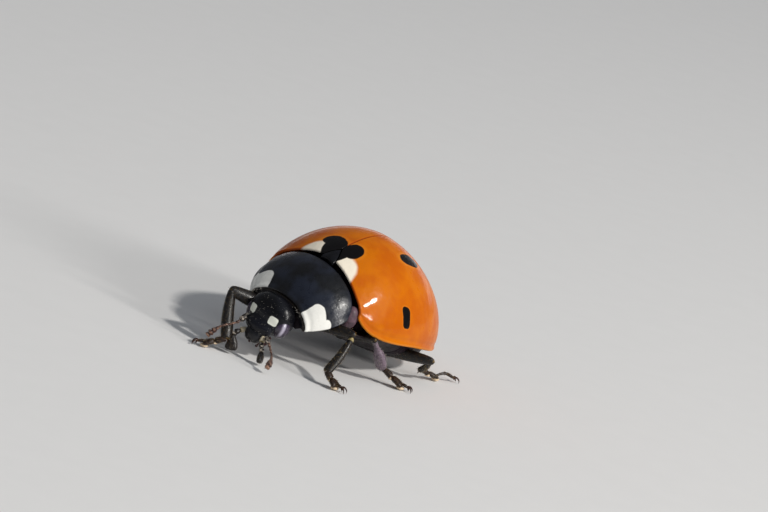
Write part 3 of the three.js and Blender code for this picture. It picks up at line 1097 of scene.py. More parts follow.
@dataclass(frozen=True)
class Dome:
    """The one dome that the wing cases, the scutellum and the trunk share."""

    half_width: float = 2.66
    centre: float = 2.36
    front: float = 2.86
    rear: float = 3.42
    height: float = 2.455
    fullness: float = 1.87
    squareness: float = 2.35
    wave: float = 0.084
    pitch: float = 1.15
    crest: float = 2.69
    lift: float = 1.1
    reach: float = 0.4
    flare: float = 8.0
    base: float = 0.25
    recess: float = 0.06
    shoulder: float = 1.7
    shoulder_end: float = 2.2

    def scaled(self, x: Array, y: Array, inset: float = 0.0) -> tuple[Array, Array]:
        """Places as fractions of the plan's radii."""
        radius = np.where(y > self.centre, self.rear, self.front) - inset
        return x / (self.half_width - inset), (y - self.centre) / radius

    def power(self, along: Array) -> Array:
        """The power n of the plan's outline: a circle's in front and a squarer one behind."""
        return np.where(along > 0, self.squareness, 2.0)

    def rho(self, x: Array, y: Array, inset: float = 0.0) -> Array:
        """Distance from the middle, 1 on the plan's outline: (|X|^n + |Y|^n)^(1/n).

        Args:
            x: Distance from the midline.
            y: Distance behind the origin.
            inset: How much smaller the dome is on every side.

        Returns:
            Numbers from 0 to 1.
        """
        across, along = self.scaled(x, y, inset)
        power = self.power(along)
        return np.clip((np.abs(across) ** power + np.abs(along) ** power) ** (1 / power), 0.0, 1.0)

    def edge(self, x: Array, y: Array) -> Array:
        """Height of the edge: a gentle wave along the body, plus a lift at the shoulders that fades
        as exp(-y / reach) backwards and as the 8th power of the distance from the rim inwards.

        Args:
            x: Distance from the midline.
            y: Distance behind the origin.

        Returns:
            Heights.
        """
        across, along = self.scaled(x, y)
        aside = np.clip(np.abs(across) / np.sqrt(np.maximum(1e-6, 1 - along**2)), 0.0, 1.0)
        lift = self.lift * np.exp(-np.maximum(0.0, y) / self.reach) * aside**self.flare
        return self.wave * np.cos(self.pitch * (y - self.crest)) + lift

    def top(self, x: Array, y: Array, inset: float = 0.0) -> Array:
        """Height of the dome: edge + H (1 - rho^q)^(1/q)."""
        rise = 1 - self.rho(x, y, inset) ** self.fullness
        return self.edge(x, y) + (self.height - inset) * rise ** (1 / self.fullness)

    def rim(self, y: Array) -> Array:
        """Half width of the plan: W (1 - |Y|^n)^(1/n).

        Args:
            y: Distance behind the origin.

        Returns:
            Half widths.
        """
        _, along = self.scaled(np.zeros_like(y), y)
        power = self.power(along)
        return self.half_width * np.maximum(0.0, 1 - np.abs(along) ** power) ** (1 / power)

    def front_line(self, x: Array) -> Array:
        """The base of the wing cases, set back as the cube of the distance from the midline."""
        aside = np.minimum(np.abs(x), self.shoulder_end) / self.shoulder
        return self.base + self.recess * aside**3

    def normal(self, x: Array, y: Array, z: Array) -> Array:
        """The outward direction, from the slopes of rho^q + zeta^q = 1 with zeta = (z - edge) / H.

        Args:
            x: Distance from the midline.
            y: Distance behind the origin.
            z: Height.

        Returns:
            Unit vectors.
        """
        q, step = self.fullness, 1e-4
        across, along = self.scaled(x, y)
        power = self.power(along)
        radius = np.where(along > 0, self.rear, self.front)
        rho = np.maximum(self.rho(x, y), 1e-6)
        zeta = np.clip((z - self.edge(x, y)) / self.height, 1e-9, 1.0)
        common = rho ** (q - power)
        up = zeta ** (q - 1) / self.height
        slope_x = (self.edge(x + step, y) - self.edge(x - step, y)) / (2 * step)
        slope_y = (self.edge(x, y + step) - self.edge(x, y - step)) / (2 * step)
        out_x = common * np.abs(across) ** (power - 1) * np.sign(across) / self.half_width - up * slope_x
        out_y = common * np.abs(along) ** (power - 1) * np.sign(along) / radius - up * slope_y
        return unit(np.stack([out_x, out_y, up], -1))


DOME = Dome()


@dataclass
class WingCases:
    """The two hard wing cases. Lengths are in millimetres."""

    seam: float = 0.008  # half the gap between them
    notch: float = 0.27  # half the width of the scutellum's notch
    notch_length: float = 0.4
    seam_round: float = 0.02
    edge_round: float = 0.04
    wall: float = 0.12
    flange: float = 0.32  # extra thickness along the rim, where the wing case folds under
    flange_height: float = 0.2
    bead: Knots = ((0.02, 0.07, 0.05), (-0.014, 0.2, 0.07))  # ridge and groove along the rim
    rows: int = 150
    columns: int = 120
    first_rows: tuple[float, ...] = (0, 0.003, 0.006, 0.01, 0.015, 0.022)
    first_columns: tuple[float, ...] = (0, 0.004, 0.008, 0.013, 0.02, 0.03)
    rounds: int = 12

    def inner_edge(self, y: Array) -> Array:
        """The seam's distance from the midline, wider where it makes room for the scutellum."""
        t = np.clip((y - DOME.base) / self.notch_length, 0.0, 1.0)
        return self.seam + self.notch * (1 - t**1.3)

    def plan(self) -> tuple[Array, Array]:
        """Places of the grid: rows run back as sin and columns out to the rim as sin.

        The rows start on the curved base, so each point's place is settled in a few rounds.

        Returns:
            Distances from the midline and behind the origin.
        """
        backward = np.linspace(self.first_rows[-1], 1, self.rows)
        b = np.concatenate([self.first_rows[:-1], backward])[:, None]
        outward = np.linspace(self.first_columns[-1], 1, self.columns)
        a = np.concatenate([self.first_columns[:-1], outward])[None]
        tail = DOME.centre + DOME.rear
        nominal = DOME.base + (tail - DOME.base) * np.sin(b * np.pi / 2) + 0 * a
        x, y = 0 * nominal, nominal
        for _ in range(self.rounds):
            start = self.inner_edge(y)
            x = start + np.maximum(DOME.rim(y) - start, 0.0) * np.sin(a * np.pi / 2)
            set_back = (DOME.front_line(x) - DOME.base) * np.exp(-(nominal - DOME.base) / 0.5)
            y = np.minimum(nominal + set_back, tail)
        return x, y

    def build(self, side: Side, finishes: Finishes) -> None:
        """Makes one wing case: the dome with rounded edges and a bead along the rim, and an
        inner face that lies a wall inside it, thicker near the rim.

        Args:
            side: Left or right.
            finishes: The materials.
        """
        x, y = self.plan()
        z = DOME.top(x, y)
        high = z - DOME.edge(x, y)
        normal = DOME.normal(x, y, z)
        from_seam = x - self.inner_edge(y)
        from_base = y - DOME.front_line(x)
        fall = round_off(from_seam, self.seam_round) + round_off(from_base, self.edge_round)
        fall = fall + round_off(high, self.edge_round)
        skin = np.stack([x, y, z], -1)
        outer = skin + (ridges(high, self.bead) - fall)[..., None] * normal
        full = np.clip(np.minimum(np.minimum(from_seam, from_base) / 0.04, high / 0.01), 0.0, 1.0)
        depth = (self.wall + self.flange * np.exp(-high / self.flange_height)) * full
        inner = skin - np.maximum(depth, fall)[..., None] * normal
        turn = np.array([side.value, 1, 1])
        shell = pillow(outer * turn, inner * turn, np.stack([from_seam, from_base, high], -1))
        node = f"elytron_{side.word}"
        make_piece(f"wing_case_{side.word}", [(shell, finishes.wing)], (node,))

    def make(self, finishes: Finishes) -> None:
        """Makes both wing cases."""
        for side in Side:
            self.build(side, finishes)


@dataclass
class Scutellum:
    """The small three-sided plate between the bases of the wing cases."""

    half_width: float = 0.25
    length: float = 0.37
    start: float = 0.2
    crown: float = 0.03
    wall: float = 0.15
    edge_round: float = 0.03
    tip: float = 0.004  # half width at the hind end
    sink: float = 0.01  # how far it lies under the dome

    def make(self, finishes: Finishes) -> None:
        """Makes the plate: the dome's own skin between two sides that meet behind, crowned as
        1 - u^2 across, with rounded edges.

        Args:
            finishes: The materials.
        """
        v = np.linspace(0, 1, 36)[:, None]
        u = np.sin(np.linspace(-1, 1, 41) * np.pi / 2)[None]
        y = self.start + (DOME.base + self.length - self.start) * v + 0 * u
        t = np.clip((y - DOME.base) / self.length, 0.0, 1.0)
        half = self.half_width * (1 - t**1.3) + self.tip
        x = half * u
        fall = round_off(half * (1 - np.abs(u)), self.edge_round)
        z = DOME.top(x, y) + self.crown * (1 - u**2) * (1 - t) - fall - self.sink
        outer = np.stack([x, y, z], -1)
        shell = pillow(outer, outer - [0, 0, self.wall])
        make_piece("scutellum_plate", [(shell, finishes.scutellum)], ("scutellum",))


@dataclass
class Trunk:
    """Thorax and abdomen under the wing cases, as rings along the body."""

    half_width: float = 2.19
    front: float = 2.4
    rear: float = 3.02
    depth: float = 0.95
    plan: float = 3.0
    keel: float = 1.3  # power of the section in front, pointed like a keel
    bowl: float = 2.4  # power of the section behind, round like a bowl
    waist: float = 2.95
    inset: float = 0.56  # how far the vault lies inside the dome
    columns: int = 160
    joints: tuple[float, ...] = (2.9, 3.42, 3.92, 4.36, 4.74, 5.06, 5.4)  # of the abdomen's plates
    side_plate: Point = (1.6, 0.36, 0.27)
    side_plate_radii: Point = (0.25, 0.26, 0.38)
    cross_groove: Point = (0.045, 0.95, 0.035)  # depth, place and width of a groove of the thorax
    middle_groove: Point = (0.03, 0.0, 0.035)
    side_groove: Point = (0.045, 1.55, 0.04)
    slant_groove: Point = (0.04, 2.35, 0.035)
    slant: float = 0.25  # how far that groove runs back for each millimetre aside
    joint_depth: float = 0.055
    joint_width: float = 0.14  # share of a plate that the joint takes
    plate_rise: float = 0.02  # how far a plate of the abdomen rises towards its hind edge
    down: Coat = Coat(1400, 0.1, 0.003, lean=1.4, seed=3)

    def half(self, y: Array) -> Array:
        """Half width of the plan, a superellipse."""
        along = (y - DOME.centre) / np.where(y > DOME.centre, self.rear, self.front)
        return self.half_width * np.maximum(0.0, 1 - np.abs(along) ** self.plan) ** (1 / self.plan)

    def sections(self, y: Array) -> Array:
        """Rings: the belly, edge - depth (1 - rho^s)^(1/s), below and the inside of the dome above.

        The power s eases from keel to bowl on the way back, and the depth from 80 to 100 percent.

        Args:
            y: Distance behind the origin of each ring.

        Returns:
            One ring of points in each row.
        """
        angle = circle(self.columns)[None]
        y = y[:, None] + 0 * angle
        x = self.half(y) * np.cos(angle)
        along = np.abs((y - DOME.centre) / np.where(y > DOME.centre, self.rear, self.front))
        outline = (np.abs(x) / self.half_width) ** self.plan + along**self.plan
        rho = np.clip(outline ** (1 / self.plan), 0, 1)
        level = DOME.wave * np.cos(DOME.pitch * (y - DOME.crest)) - 0.05
        power = self.keel + (self.bowl - self.keel) * ease(y, 1.6, 3.6)
        depth = self.depth * (0.8 + 0.2 * ease(y, 0.5, 3.0))
        belly = level - 0.04 - depth * (1 - rho**power) ** (1 / power)
        rise = 1 - DOME.rho(x, y, self.inset) ** DOME.fullness
        vault = level + (DOME.height - self.inset) * rise ** (1 / DOME.fullness)
        z = np.where(np.sin(angle) > 0, vault, belly)
        return np.stack([x, y, z], -1)

    def carved(self, points: Array, y: Array, depth: Array) -> Array:
        """Sinks the belly of the rings by a depth, in the direction of their middles.

        Args:
            points: Rings of points.
            y: Distance behind the origin of each ring.
            depth: How far each point sinks.

        Returns:
            The carved rings.
        """
        middle = np.stack([0 * y, y, 0 * y + 0.3], -1)[:, None]
        below = ease(points[..., 2], 0.1, -0.15)[..., None]
        return points + unit(middle - points) * depth[..., None] * below

    def make_thorax(self, finishes: Finishes) -> None:
        """Makes the thorax, with grooves between its plates: one across behind the middle legs,
        one along the midline and one along each side.

        Args:
            finishes: The materials.
        """
        start = DOME.centre - self.front
        y = start + (self.waist - start) * np.sin(np.linspace(0.0, 1, 110) * np.pi / 2) ** 1.4
        points = self.sections(y)
        x = np.abs(points[..., 0])
        back = points[..., 1]
        groove = ridges(back - 0.1 * np.cos(3 * x), (self.cross_groove,))
        groove = groove + ridges(x, (self.middle_groove,)) * ease(back, 1.1, 1.4)
        groove = groove + ridges(x - 0.04 * back, (self.side_groove,))
        groove = groove + ridges(back - self.slant * x, (self.slant_groove,))
        parts = [(rings(self.carved(points, y, groove)), finishes.trunk)]
        aside, behind, above = self.side_plate
        for side in Side:
            plate = ball((side.value * aside, behind, above), self.side_plate_radii)
            parts.append((plate, finishes.plate))
        make_piece("thorax_shell", parts, ("thorax",))

    def make_abdomen(self, finishes: Finishes) -> Shell:
        """Makes the abdomen, whose plates overlap backwards: each rises slowly towards its hind
        edge, where it steps down to the next.

        Args:
            finishes: The materials.

        Returns:
            Its shell.
        """
        tail = DOME.centre + self.rear
        t = np.linspace(0, 1, 150)
        y = (self.waist + 0.02) + (tail - self.waist - 0.02) * np.sin(t * np.pi / 2)
        points = self.sections(y)
        joints = np.array(self.joints)
        bent = points[..., 1] - 0.05 * np.abs(points[..., 0])
        plate = np.clip(np.searchsorted(joints, bent) - 1, 0, len(joints) - 2)
        local = np.clip((bent - joints[plate]) / (joints[plate + 1] - joints[plate]), 0, 1)
        step = self.joint_depth * (1 - ease(local, 0.0, self.joint_width))
        depth = step + self.plate_rise * (1 - local)
        shell = rings(self.carved(points, y, depth))
        make_piece("abdomen_shell", [(shell, finishes.trunk)], ("abdomen",))
        return shell

    def make(self, finishes: Finishes) -> None:
        """Makes thorax, abdomen and the sparse down on the belly.

        Args:
            finishes: The materials.
        """
        self.make_thorax(finishes)
        shell = self.make_abdomen(finishes)
        below = ease(shell.middles()[:, 2], -0.1, -0.4)
        down = self.down.grow(shell, np.array([0, 1.0, -0.1]), below)
        make_piece("belly_down", [(down, finishes.pale_hair)], ())


# ---- Pronotum and first body ring ----


@dataclass(frozen=True)
class Arch:
    """Half a superellipse across the body: one of the two edges that the pronotum hangs between."""

    half_width: float
    crown_y: float
    corner_y: float
    crown_z: float
    corner_z: float
    power: float
    back: float = 0.0
    rise: float = 0.0

    def point(self, u: Array) -> Array:
        """Points of the arch: sin across, u squared along and cos to a power up. Halfway down each
        side it swells backwards and upwards as sin(pi |u|^1.8)^1.2.

        Args:
            u: From -1 on the right to 1 on the left.

        Returns:
            Points.
        """
        turn = np.clip(u, -1, 1) * np.pi / 2
        crown = np.maximum(0.0, np.cos(turn)) ** self.power
        x = self.half_width * np.sin(turn)
        swell = np.maximum(0.0, np.sin(np.pi * np.abs(u) ** 1.8)) ** 1.2
        y = self.crown_y + (self.corner_y - self.crown_y) * u**2 + self.back * swell
        z = self.corner_z + (self.crown_z - self.corner_z) * crown + self.rise * swell
        return np.stack([x, y, z], -1)


@dataclass
class Pronotum:
    """The shield behind the head and the body ring under it."""

    fore: Arch = Arch(1.178, -0.984, -0.926, -0.058, -0.638, 1.065)
    hind: Arch = Arch(1.768, 0.18, 0.041, 1.335, 0.18, 1.194, 0.1, 0.06)
    crown_bulge: float = 0.174
    side_bulge: float = 0.161
    edge: float = 0.2
    middle: float = 0.42
    side_bead: Knots = ((0.014, 0.07, 0.06), (-0.01, 0.22, 0.08))
    front_bead: Knots = ((0.012, 0.06, 0.04), (-0.012, 0.15, 0.05))
    ring_extent: float = 0.92  # of the ring against the shield
    ring_depth: float = 0.36  # of the ring's top under the shield
    ring_edge: float = 0.12  # height of the ring's sides
    ring_columns: int = 120
    edge_round: float = 0.06
    span_u: float = 1.5  # millimetres for each unit of u, roughly
    span_v: float = 1.3
    fringe: Coat = Coat(70, 0.13, 0.0045, lean=0.8, seed=4)

    def face(self, u: Array, v: Array) -> Array:
        """The outer face: between the arches, swollen as 4 v (1 - v).

        Args:
            u: From -1 on the right to 1 on the left.
            v: From 0 at the front edge to 1 at the hind edge.

        Returns:
            Points.
        """
        share = v[..., None]
        flat = (1 - share) * self.fore.point(u) + share * self.hind.point(u)
        swell = 4 * v * (1 - v)
        turn = u * np.pi / 2
        side = swell * self.side_bulge * np.sin(turn)
        crown = swell * self.crown_bulge * np.cos(turn)
        return flat + np.stack([side, -crown, crown], -1)

    def inward(self, points: Array, v: Array) -> Array:
        """Unit vectors from points of the face towards the axis of the arches.

        Args:
            points: Points of the face.
            v: Their place from front to back.

        Returns:
            Unit vectors.
        """
        y = self.fore.corner_y + (self.hind.corner_y - self.fore.corner_y) * v
        z = self.fore.corner_z + (self.hind.corner_z - self.fore.corner_z) * v - 0.1
        return unit(np.stack([0 * v, y, z], -1) - points)

    def make_plate(self, finishes: Finishes) -> Shell:
        """Makes the shield, with a bead along its sides and front and rounded edges.

        Args:
            finishes: The materials.

        Returns:
            Its shell.
        """
        u = np.sin(np.linspace(-1, 1, 181) * np.pi / 2) * 0.35 + np.linspace(-1, 1, 181) * 0.65
        v = 0.5 - 0.5 * np.cos(np.linspace(0, 1, 110) * np.pi)
        v, u = np.meshgrid(v, u, indexing="ij")
        points = self.face(u, v)
        out = unit(np.cross(np.gradient(points, axis=1), np.gradient(points, axis=0)))
        out = out * np.sign(np.sum(out * -self.inward(points, v), -1, keepdims=True))
        aside = (1 - np.abs(u)) * self.span_u
        ahead, behind = v * self.span_v, (1 - v) * self.span_v
        fall = sum(round_off(distance, self.edge_round) for distance in (aside, ahead, behind))
        bead = ridges(aside, self.side_bead) + ridges(ahead, self.front_bead)
        outer = points + (bead - fall)[..., None] * out
        full = ease(np.minimum(np.minimum(aside, ahead), behind), 0.0, 0.08)
        depth = self.edge + (self.middle - self.edge) * np.minimum(1, 8 * v * (1 - v))
        inner = points + (np.maximum(depth * full, fall))[..., None] * self.inward(points, v)
        chart = np.stack([u, v, 0 * u], -1)
        shell = pillow(outer, inner, np.stack([chart, chart + [0, 0, 1]]))
        make_piece("pronotum_plate", [(shell, finishes.pronotum)], ("pronotum",))
        return shell

    def make_ring(self, finishes: Finishes) -> None:
        """Makes the body ring under the shield: its top follows the shield from inside and its
        lower half falls as 1 - |u|^2.2 to a breastbone that is shaped like a keel.

        Args:
            finishes: The materials.
        """
        angle = circle(self.ring_columns)[None]
        v = np.linspace(0, 1, 60)[:, None] + 0 * angle
        u = np.cos(angle) + 0 * v
        along = 0.5 + (v - 0.5) * self.ring_extent
        top = self.face(u * self.ring_extent, along)
        top = top + self.ring_depth * self.inward(top, along)
        fall = (1 - np.abs(u) ** 2.2)[..., None]
        keel = -1.0 + 0.75 * (0.65 * np.abs(u)) ** 1.3
        low = np.stack([0.98 * u, -0.9 + 0.92 * v, np.minimum(keel, top[..., 2] - self.ring_edge)], -1)
        edge = top - [0, 0, self.ring_edge]
        bottom = edge + (low - edge) * fall
        groove = 0.05 * bell(v, 0.5, 0.03) + 0.035 * bell(np.abs(u), 0.22, 0.03)
        bottom[..., 2] += groove * fall[..., 0]
        share = ease(np.sin(angle), -0.12, 0.12)[..., None]
        shell = rings(bottom + (top - bottom) * share)
        make_piece("breast_ring", [(shell, finishes.trunk)], ("prothorax",))

    def make(self, finishes: Finishes) -> None:
        """Makes the shield, the ring under it and the fringe along the shield's front edge.

        Args:
            finishes: The materials.
        """
        shell = self.make_plate(finishes)
        self.make_ring(finishes)
        chart = shell.chart[shell.faces].mean(axis=1)
        side = ease(-chart[:, 0], 0.45, 0.6) + 0.8 * bell(chart[:, 0], 0.4, 0.12)
        front = ease(chart[:, 1], 0.03, 0.0) * side
        fringe = self.fringe.grow(shell, np.array([0, -1.0, -0.4]), front)
        make_piece("shield_fringe", [(fringe, finishes.pale_hair)], ())


# ---- Head ----


@dataclass
class Head:
    """Head capsule, eyes, upper lip and mouthparts."""

    centre: Point = (0.0, -1.06, -0.7)
    half_width: float = 0.78
    front: float = 0.52
    back: float = 0.5
    high: float = 0.62
    low: float = 0.66
    powers: Point = (0.9, 0.75, 0.85)
    muzzle: float = 0.36
    push: float = 0.2  # how far the lower face stands forward
    step: float = 0.05  # how far the clypeus stands out
    dents: tuple[tuple[float, ...], ...] = (
        (-0.035, 0.5, 0.12, -0.98, 0.14), (-0.07, 0.6, 0.07, -1.14, 0.07),
        (0.02, 0.0, 0.25, -0.62, 0.25),
    )  # height, then middle and width across and up: hollow by the eye, feeler's pit and brow
    clypeus: Point = (0.0, -1.42, -1.13)
    clypeus_radii: Point = (0.5, 0.21, 0.26)
    eye: Point = (0.6, -1.15, -0.86)
    eye_radii: Point = (0.22, 0.28, 0.34)
    lip: Point = (0.0, -1.43, -1.46)
    lip_radii: Point = (0.36, 0.19, 0.24)
    lip_taper: float = 0.25
    fringe: Coat = Coat(24, 0.08, 0.003, lean=1.2, seed=5)
    down: Coat = Coat(160, 0.06, 0.0025, lean=1.0, seed=6)
    mouth: Point = (0.0, -1.2, -1.44)
    mouth_radii: Point = (0.26, 0.2, 0.24)
    jaws: tuple[tuple[Knots, Knots], ...] = (
        (
            ((0.28, -1.22, -1.38), (0.25, -1.3, -1.52), (0.08, -1.38, -1.66)),
            ((0, 0.12, 0.1), (0.4, 0.12, 0.08), (0.85, 0.05, 0.035), (1, 0.004, 0.004)),
        ),
        (
            ((0.28, -1.1, -1.32), (0.3, -1.16, -1.5), (0.2, -1.2, -1.66)),
            ((0, 0.11, 0.1), (0.5, 0.12, 0.09), (0.9, 0.07, 0.06), (1, 0.01, 0.01)),
        ),
        (
            ((0.12, -1.18, -1.6), (0.16, -1.24, -1.7), (0.14, -1.28, -1.78)),
            (
                (0, 0.02, 0.02), (0.3, 0.04, 0.04), (0.38, 0.025, 0.025), (0.8, 0.045, 0.045),
                (1, 0.006, 0.006),
            ),
        ),
    )  # left path and profile of mandible, maxilla and lower palp

    def capsule(self) -> Shell:
        """The head: a squarish ellipsoid that narrows towards the mouth, with a raised clypeus
        above the lip, a shallow hollow before each eye and pits for the feelers.

        Returns:
            Its shell.
        """
        d = directions(130, 220)
        narrow = 1 - self.muzzle * np.maximum(0, -d[..., 2]) ** 1.6
        depth = np.where(d[..., 1] < 0, self.front, self.back)
        height = np.where(d[..., 2] < 0, self.low, self.high)
        size = np.stack([self.half_width * narrow, depth, height], -1)
        points = np.array(self.centre) + size * np.sign(d) * np.abs(d) ** self.powers
        x, y, z = np.abs(points[..., 0]), points[..., 1], points[..., 2]
        rise = self.step * ease(z, -1.0, -1.1) * ease(x, 0.56, 0.44) * ease(z, -1.36, -1.3)
        for tall, aside, wide, above, high in self.dents:
            rise = rise + tall * bell(x, aside, wide) * bell(z, above, high)
        rise = ease(y, -1.2, -1.4) * rise
        points = points + rise[..., None] * unit(points - np.array(self.centre))
        points[..., 1] -= self.push * ease(z, -0.8, -1.3) * ease(y, -0.9, -1.2)
        shield = ball(self.clypeus, self.clypeus_radii, (0.76, 0.85, 0.85), 40, 80)
        return join([rings(points), shield])

    def make_lip(self, finishes: Finishes) -> None:
        """Makes the upper lip, a squarish block that narrows downwards, and its fringe.

        Args:
            finishes: The materials.
        """
        plate = ball(self.lip, self.lip_radii, (0.75, 0.8, 0.75), 40, 72)
        half = self.lip_radii[2]
        share = (self.lip[2] + half - plate.points[:, 2]) / (2 * half)
        plate.points[:, 0] *= 1 - self.lip_taper * np.clip(share, 0, 1)
        notch = bell(plate.points[:, 0], 0.0, 0.08) * ease(plate.points[:, 2], -1.5, -1.66)
        plate.points[:, 2] += 0.03 * notch
        rooted = plate.middles()
        low = ease(rooted[:, 2], -1.52, -1.62) * ease(rooted[:, 1], -1.4, -1.5)
        fringe = self.fringe.grow(plate, np.array([0, -0.4, -1.0]), low)
        parts = [(plate, finishes.lip), (fringe, finishes.pale_hair)]
        make_piece("upper_lip", parts, ("labrum",))

    def make_mouthparts(self, finishes: Finishes) -> None:
        """Makes the lower lip, two curved mandibles, two maxillae and the small lower palps.

        Args:
            finishes: The materials.
        """
        parts = [ball(self.mouth, self.mouth_radii, (0.8, 0.8, 0.8))]
        for side in Side:
            for path, profile in self.jaws:
                parts.append(limb(np.array(path) * [side.value, 1, 1], profile, (0, 1, 0.4)))
        make_piece("mouthparts_set", [(join(parts), finishes.mouth)], ("mouthparts",))

    def make_eye(self, side: Side, finishes: Finishes) -> None:
        """Makes one compound eye, an ellipsoid set in the head.

        Args:
            side: Left or right.
            finishes: The materials.
        """
        centre = (side.value * self.eye[0], self.eye[1], self.eye[2])
        shell = ball(centre, self.eye_radii, rows=56, columns=80)
        make_piece(f"compound_eye_{side.word}", [(shell, finishes.eye)], (f"eye_{side.word}",))

    def make(self, finishes: Finishes) -> None:
        """Makes the whole head, with a few pale hairs on the face.

        Args:
            finishes: The materials.
        """
        capsule = self.capsule()
        face = ease(capsule.middles()[:, 1], -1.2, -1.4)
        down = self.down.grow(capsule, np.array([0, -0.3, -1.0]), face)
        parts = [(capsule, finishes.head), (down, finishes.pale_hair)]
        make_piece("head_capsule", parts, ("head",))
        for side in Side:
            self.make_eye(side, finishes)
        self.make_lip(finishes)
        self.make_mouthparts(finishes)


@dataclass
class Feelers:
    """The two feelers, of eleven segments each, the last three a club."""

    lengths: tuple[float, ...] = (1.7, 0.9, 1.3, 0.9, 0.9, 0.8, 0.8, 0.8, 1.0, 1.0, 1.1)
    radii: tuple[float, ...] = (0.075, 0.055, 0.042, 0.04, 0.04, 0.042, 0.045, 0.06, 0.095, 0.11, 0.09)
    places: tuple[float, ...] = (0.02, 0.08, 0.3, 0.6, 0.82, 0.94, 0.99)  # along a segment
    swell: tuple[float, ...] = (0.5, 0.62, 0.82, 0.98, 1.0, 0.86, 0.55)  # its width there
    flat: Point = (0.2, 0.3, 1.0)
    skin_places: tuple[float, ...] = (0.02, 0.2, 0.5, 0.8, 0.97, 1.0)  # along the first segment
    skin: tuple[float, ...] = (0.7, 1.1, 1.25, 1.25, 0.9, 0.1)  # the pale skin's width there
    hair: Coat = Coat(260, 0.055, 0.0028, lean=0.8, seed=7)
    left: Knots = (
        (0.48, -1.5, -1.28), (0.86, -1.65, -1.44), (1.15, -1.8, -1.58), (1.32, -1.96, -1.71),
        (1.42, -2.12, -1.9),
    )
    right: Knots = (
        (-0.52, -1.44, -1.02), (-0.54, -1.73, -1.35), (-0.62, -1.95, -1.5), (-0.72, -2.15, -1.65),
        (-0.85, -2.22, -1.9), (-0.95, -2.26, -2.12),
    )

    def profile(self) -> Array:
        """Rows of fraction, half width and half thickness: each segment swells from its root.

        Returns:
            The profile.
        """
        ends = np.cumsum((0.0, *self.lengths)) / sum(self.lengths)
        s = ends[:-1, None] + np.diff(ends)[:, None] * np.array(self.places)
        r = np.array(self.radii)[:, None] * np.array(self.swell)
        s, r = s.ravel(), r.ravel()
        s = np.concatenate([s, [1.0, 1.0]])
        r = np.concatenate([r, [0.3 * r[-1], 0.004]])
        return np.stack([s, r, 0.8 * r], -1)

    def root(self) -> Array:
        """Rows of fraction, half width and half thickness of the pale skin over the first segment.

        Returns:
            The profile.
        """
        end = self.lengths[0] / sum(self.lengths)
        r = self.radii[0] * np.array(self.skin)
        return np.stack([end * np.array(self.skin_places), r, 0.85 * r], -1)

    def make(self, finishes: Finishes) -> None:
        """Makes both feelers with their hairs.

        Args:
            finishes: The materials.
        """
        for side, path in ((Side.LEFT, self.left), (Side.RIGHT, self.right)):
            shell = carry(path, self.profile(), self.flat, 16)
            comb = np.array(path[-1]) - np.array(path[0])
            coat = self.hair.grow(shell, comb)
            root = carry(path, self.root(), self.flat, 16)
            parts = [(shell, finishes.feeler), (root, finishes.speckled), (coat, finishes.pale_hair)]
            make_piece(f"feeler_{side.word}", parts, (f"antenna_{side.word}",))


@dataclass(frozen=True)
class Palp:
    """One jaw palp, of four segments, the last shaped like an axe."""

    side: Side
    joints: Knots  # five, from root to tip
    flat: Point  # the direction in which the blade is thin
    width: float  # the blade's half width
    slim: Knots = (
        (0, 0.03, 0.03), (0.15, 0.06, 0.055), (0.7, 0.09, 0.08), (0.95, 0.08, 0.07),
        (1.0, 0.01, 0.01),
    )
    blade: Knots = (
        (0.12, 0.4, 0.07), (0.45, 0.85, 0.1), (0.75, 1.0, 0.095), (0.93, 0.8, 0.07),
        (1.0, 0.1, 0.01),
    )  # its half widths are in half widths of the blade
    hair: Coat = Coat(150, 0.06, 0.0028, lean=0.9, seed=8)

    def segments(self, joints: Array) -> list[Shell]:
        """The four segments, each from a narrow root to a wider end; the last spreads to a blade.

        Args:
            joints: Five joints.

        Returns:
            Their shells.
        """
        blade = [(0, 0.04, 0.04), *widened(self.blade, self.width, 1.0)]
        made = [limb(joints[k : k + 2], self.slim, self.flat, 24) for k in range(3)]
        return [*made, limb(joints[3:5], blade, self.flat, 40, 24)]

    def make(self, finishes: Finishes) -> None:
        """Makes the palp with its hairs.

        Args:
            finishes: The materials.
        """
        joints = np.array(self.joints)
        shells = self.segments(joints)
        coat = self.hair.grow(join(shells), joints[4] - joints[3])
        ring = finishes.speckled if self.side is Side.LEFT else finishes.palp
        skins = (finishes.joint, ring, finishes.speckled, finishes.palp)
        parts = [*zip(shells, skins), (coat, finishes.pale_hair)]
        make_piece(f"jaw_palp_{self.side.word}", parts, (f"palp_{self.side.word}",))


LEFT_PALP = Palp(
    Side.LEFT,
    (
        (0.34, -1.45, -1.3), (0.46, -1.56, -1.48), (0.56, -1.6, -1.62), (0.64, -1.6, -1.7),
        (0.78, -1.63, -2.05),
    ),
    (0.8, 0.3, 0.4),
    0.16,
)
RIGHT_PALP = Palp(
    Side.RIGHT,
    (
        (-0.33, -1.42, -1.42), (-0.4, -1.6, -1.55), (-0.46, -1.71, -1.66), (-0.44, -1.76, -1.74),
        (-0.24, -1.8, -2.2),
    ),
    (0.5, -0.85, 0.2),
    0.19,
)


# ---- Legs ----

UP = np.array([0, 0, 1.0])
HIPS: dict[Pair, Point] = {
    Pair.FRONT: (0.45, -0.3, -0.5),
    Pair.MIDDLE: (1.0, 1.3, -0.5),
    Pair.HIND: (0.95, 3.15, -0.72),
}  # on the left, in the body frame


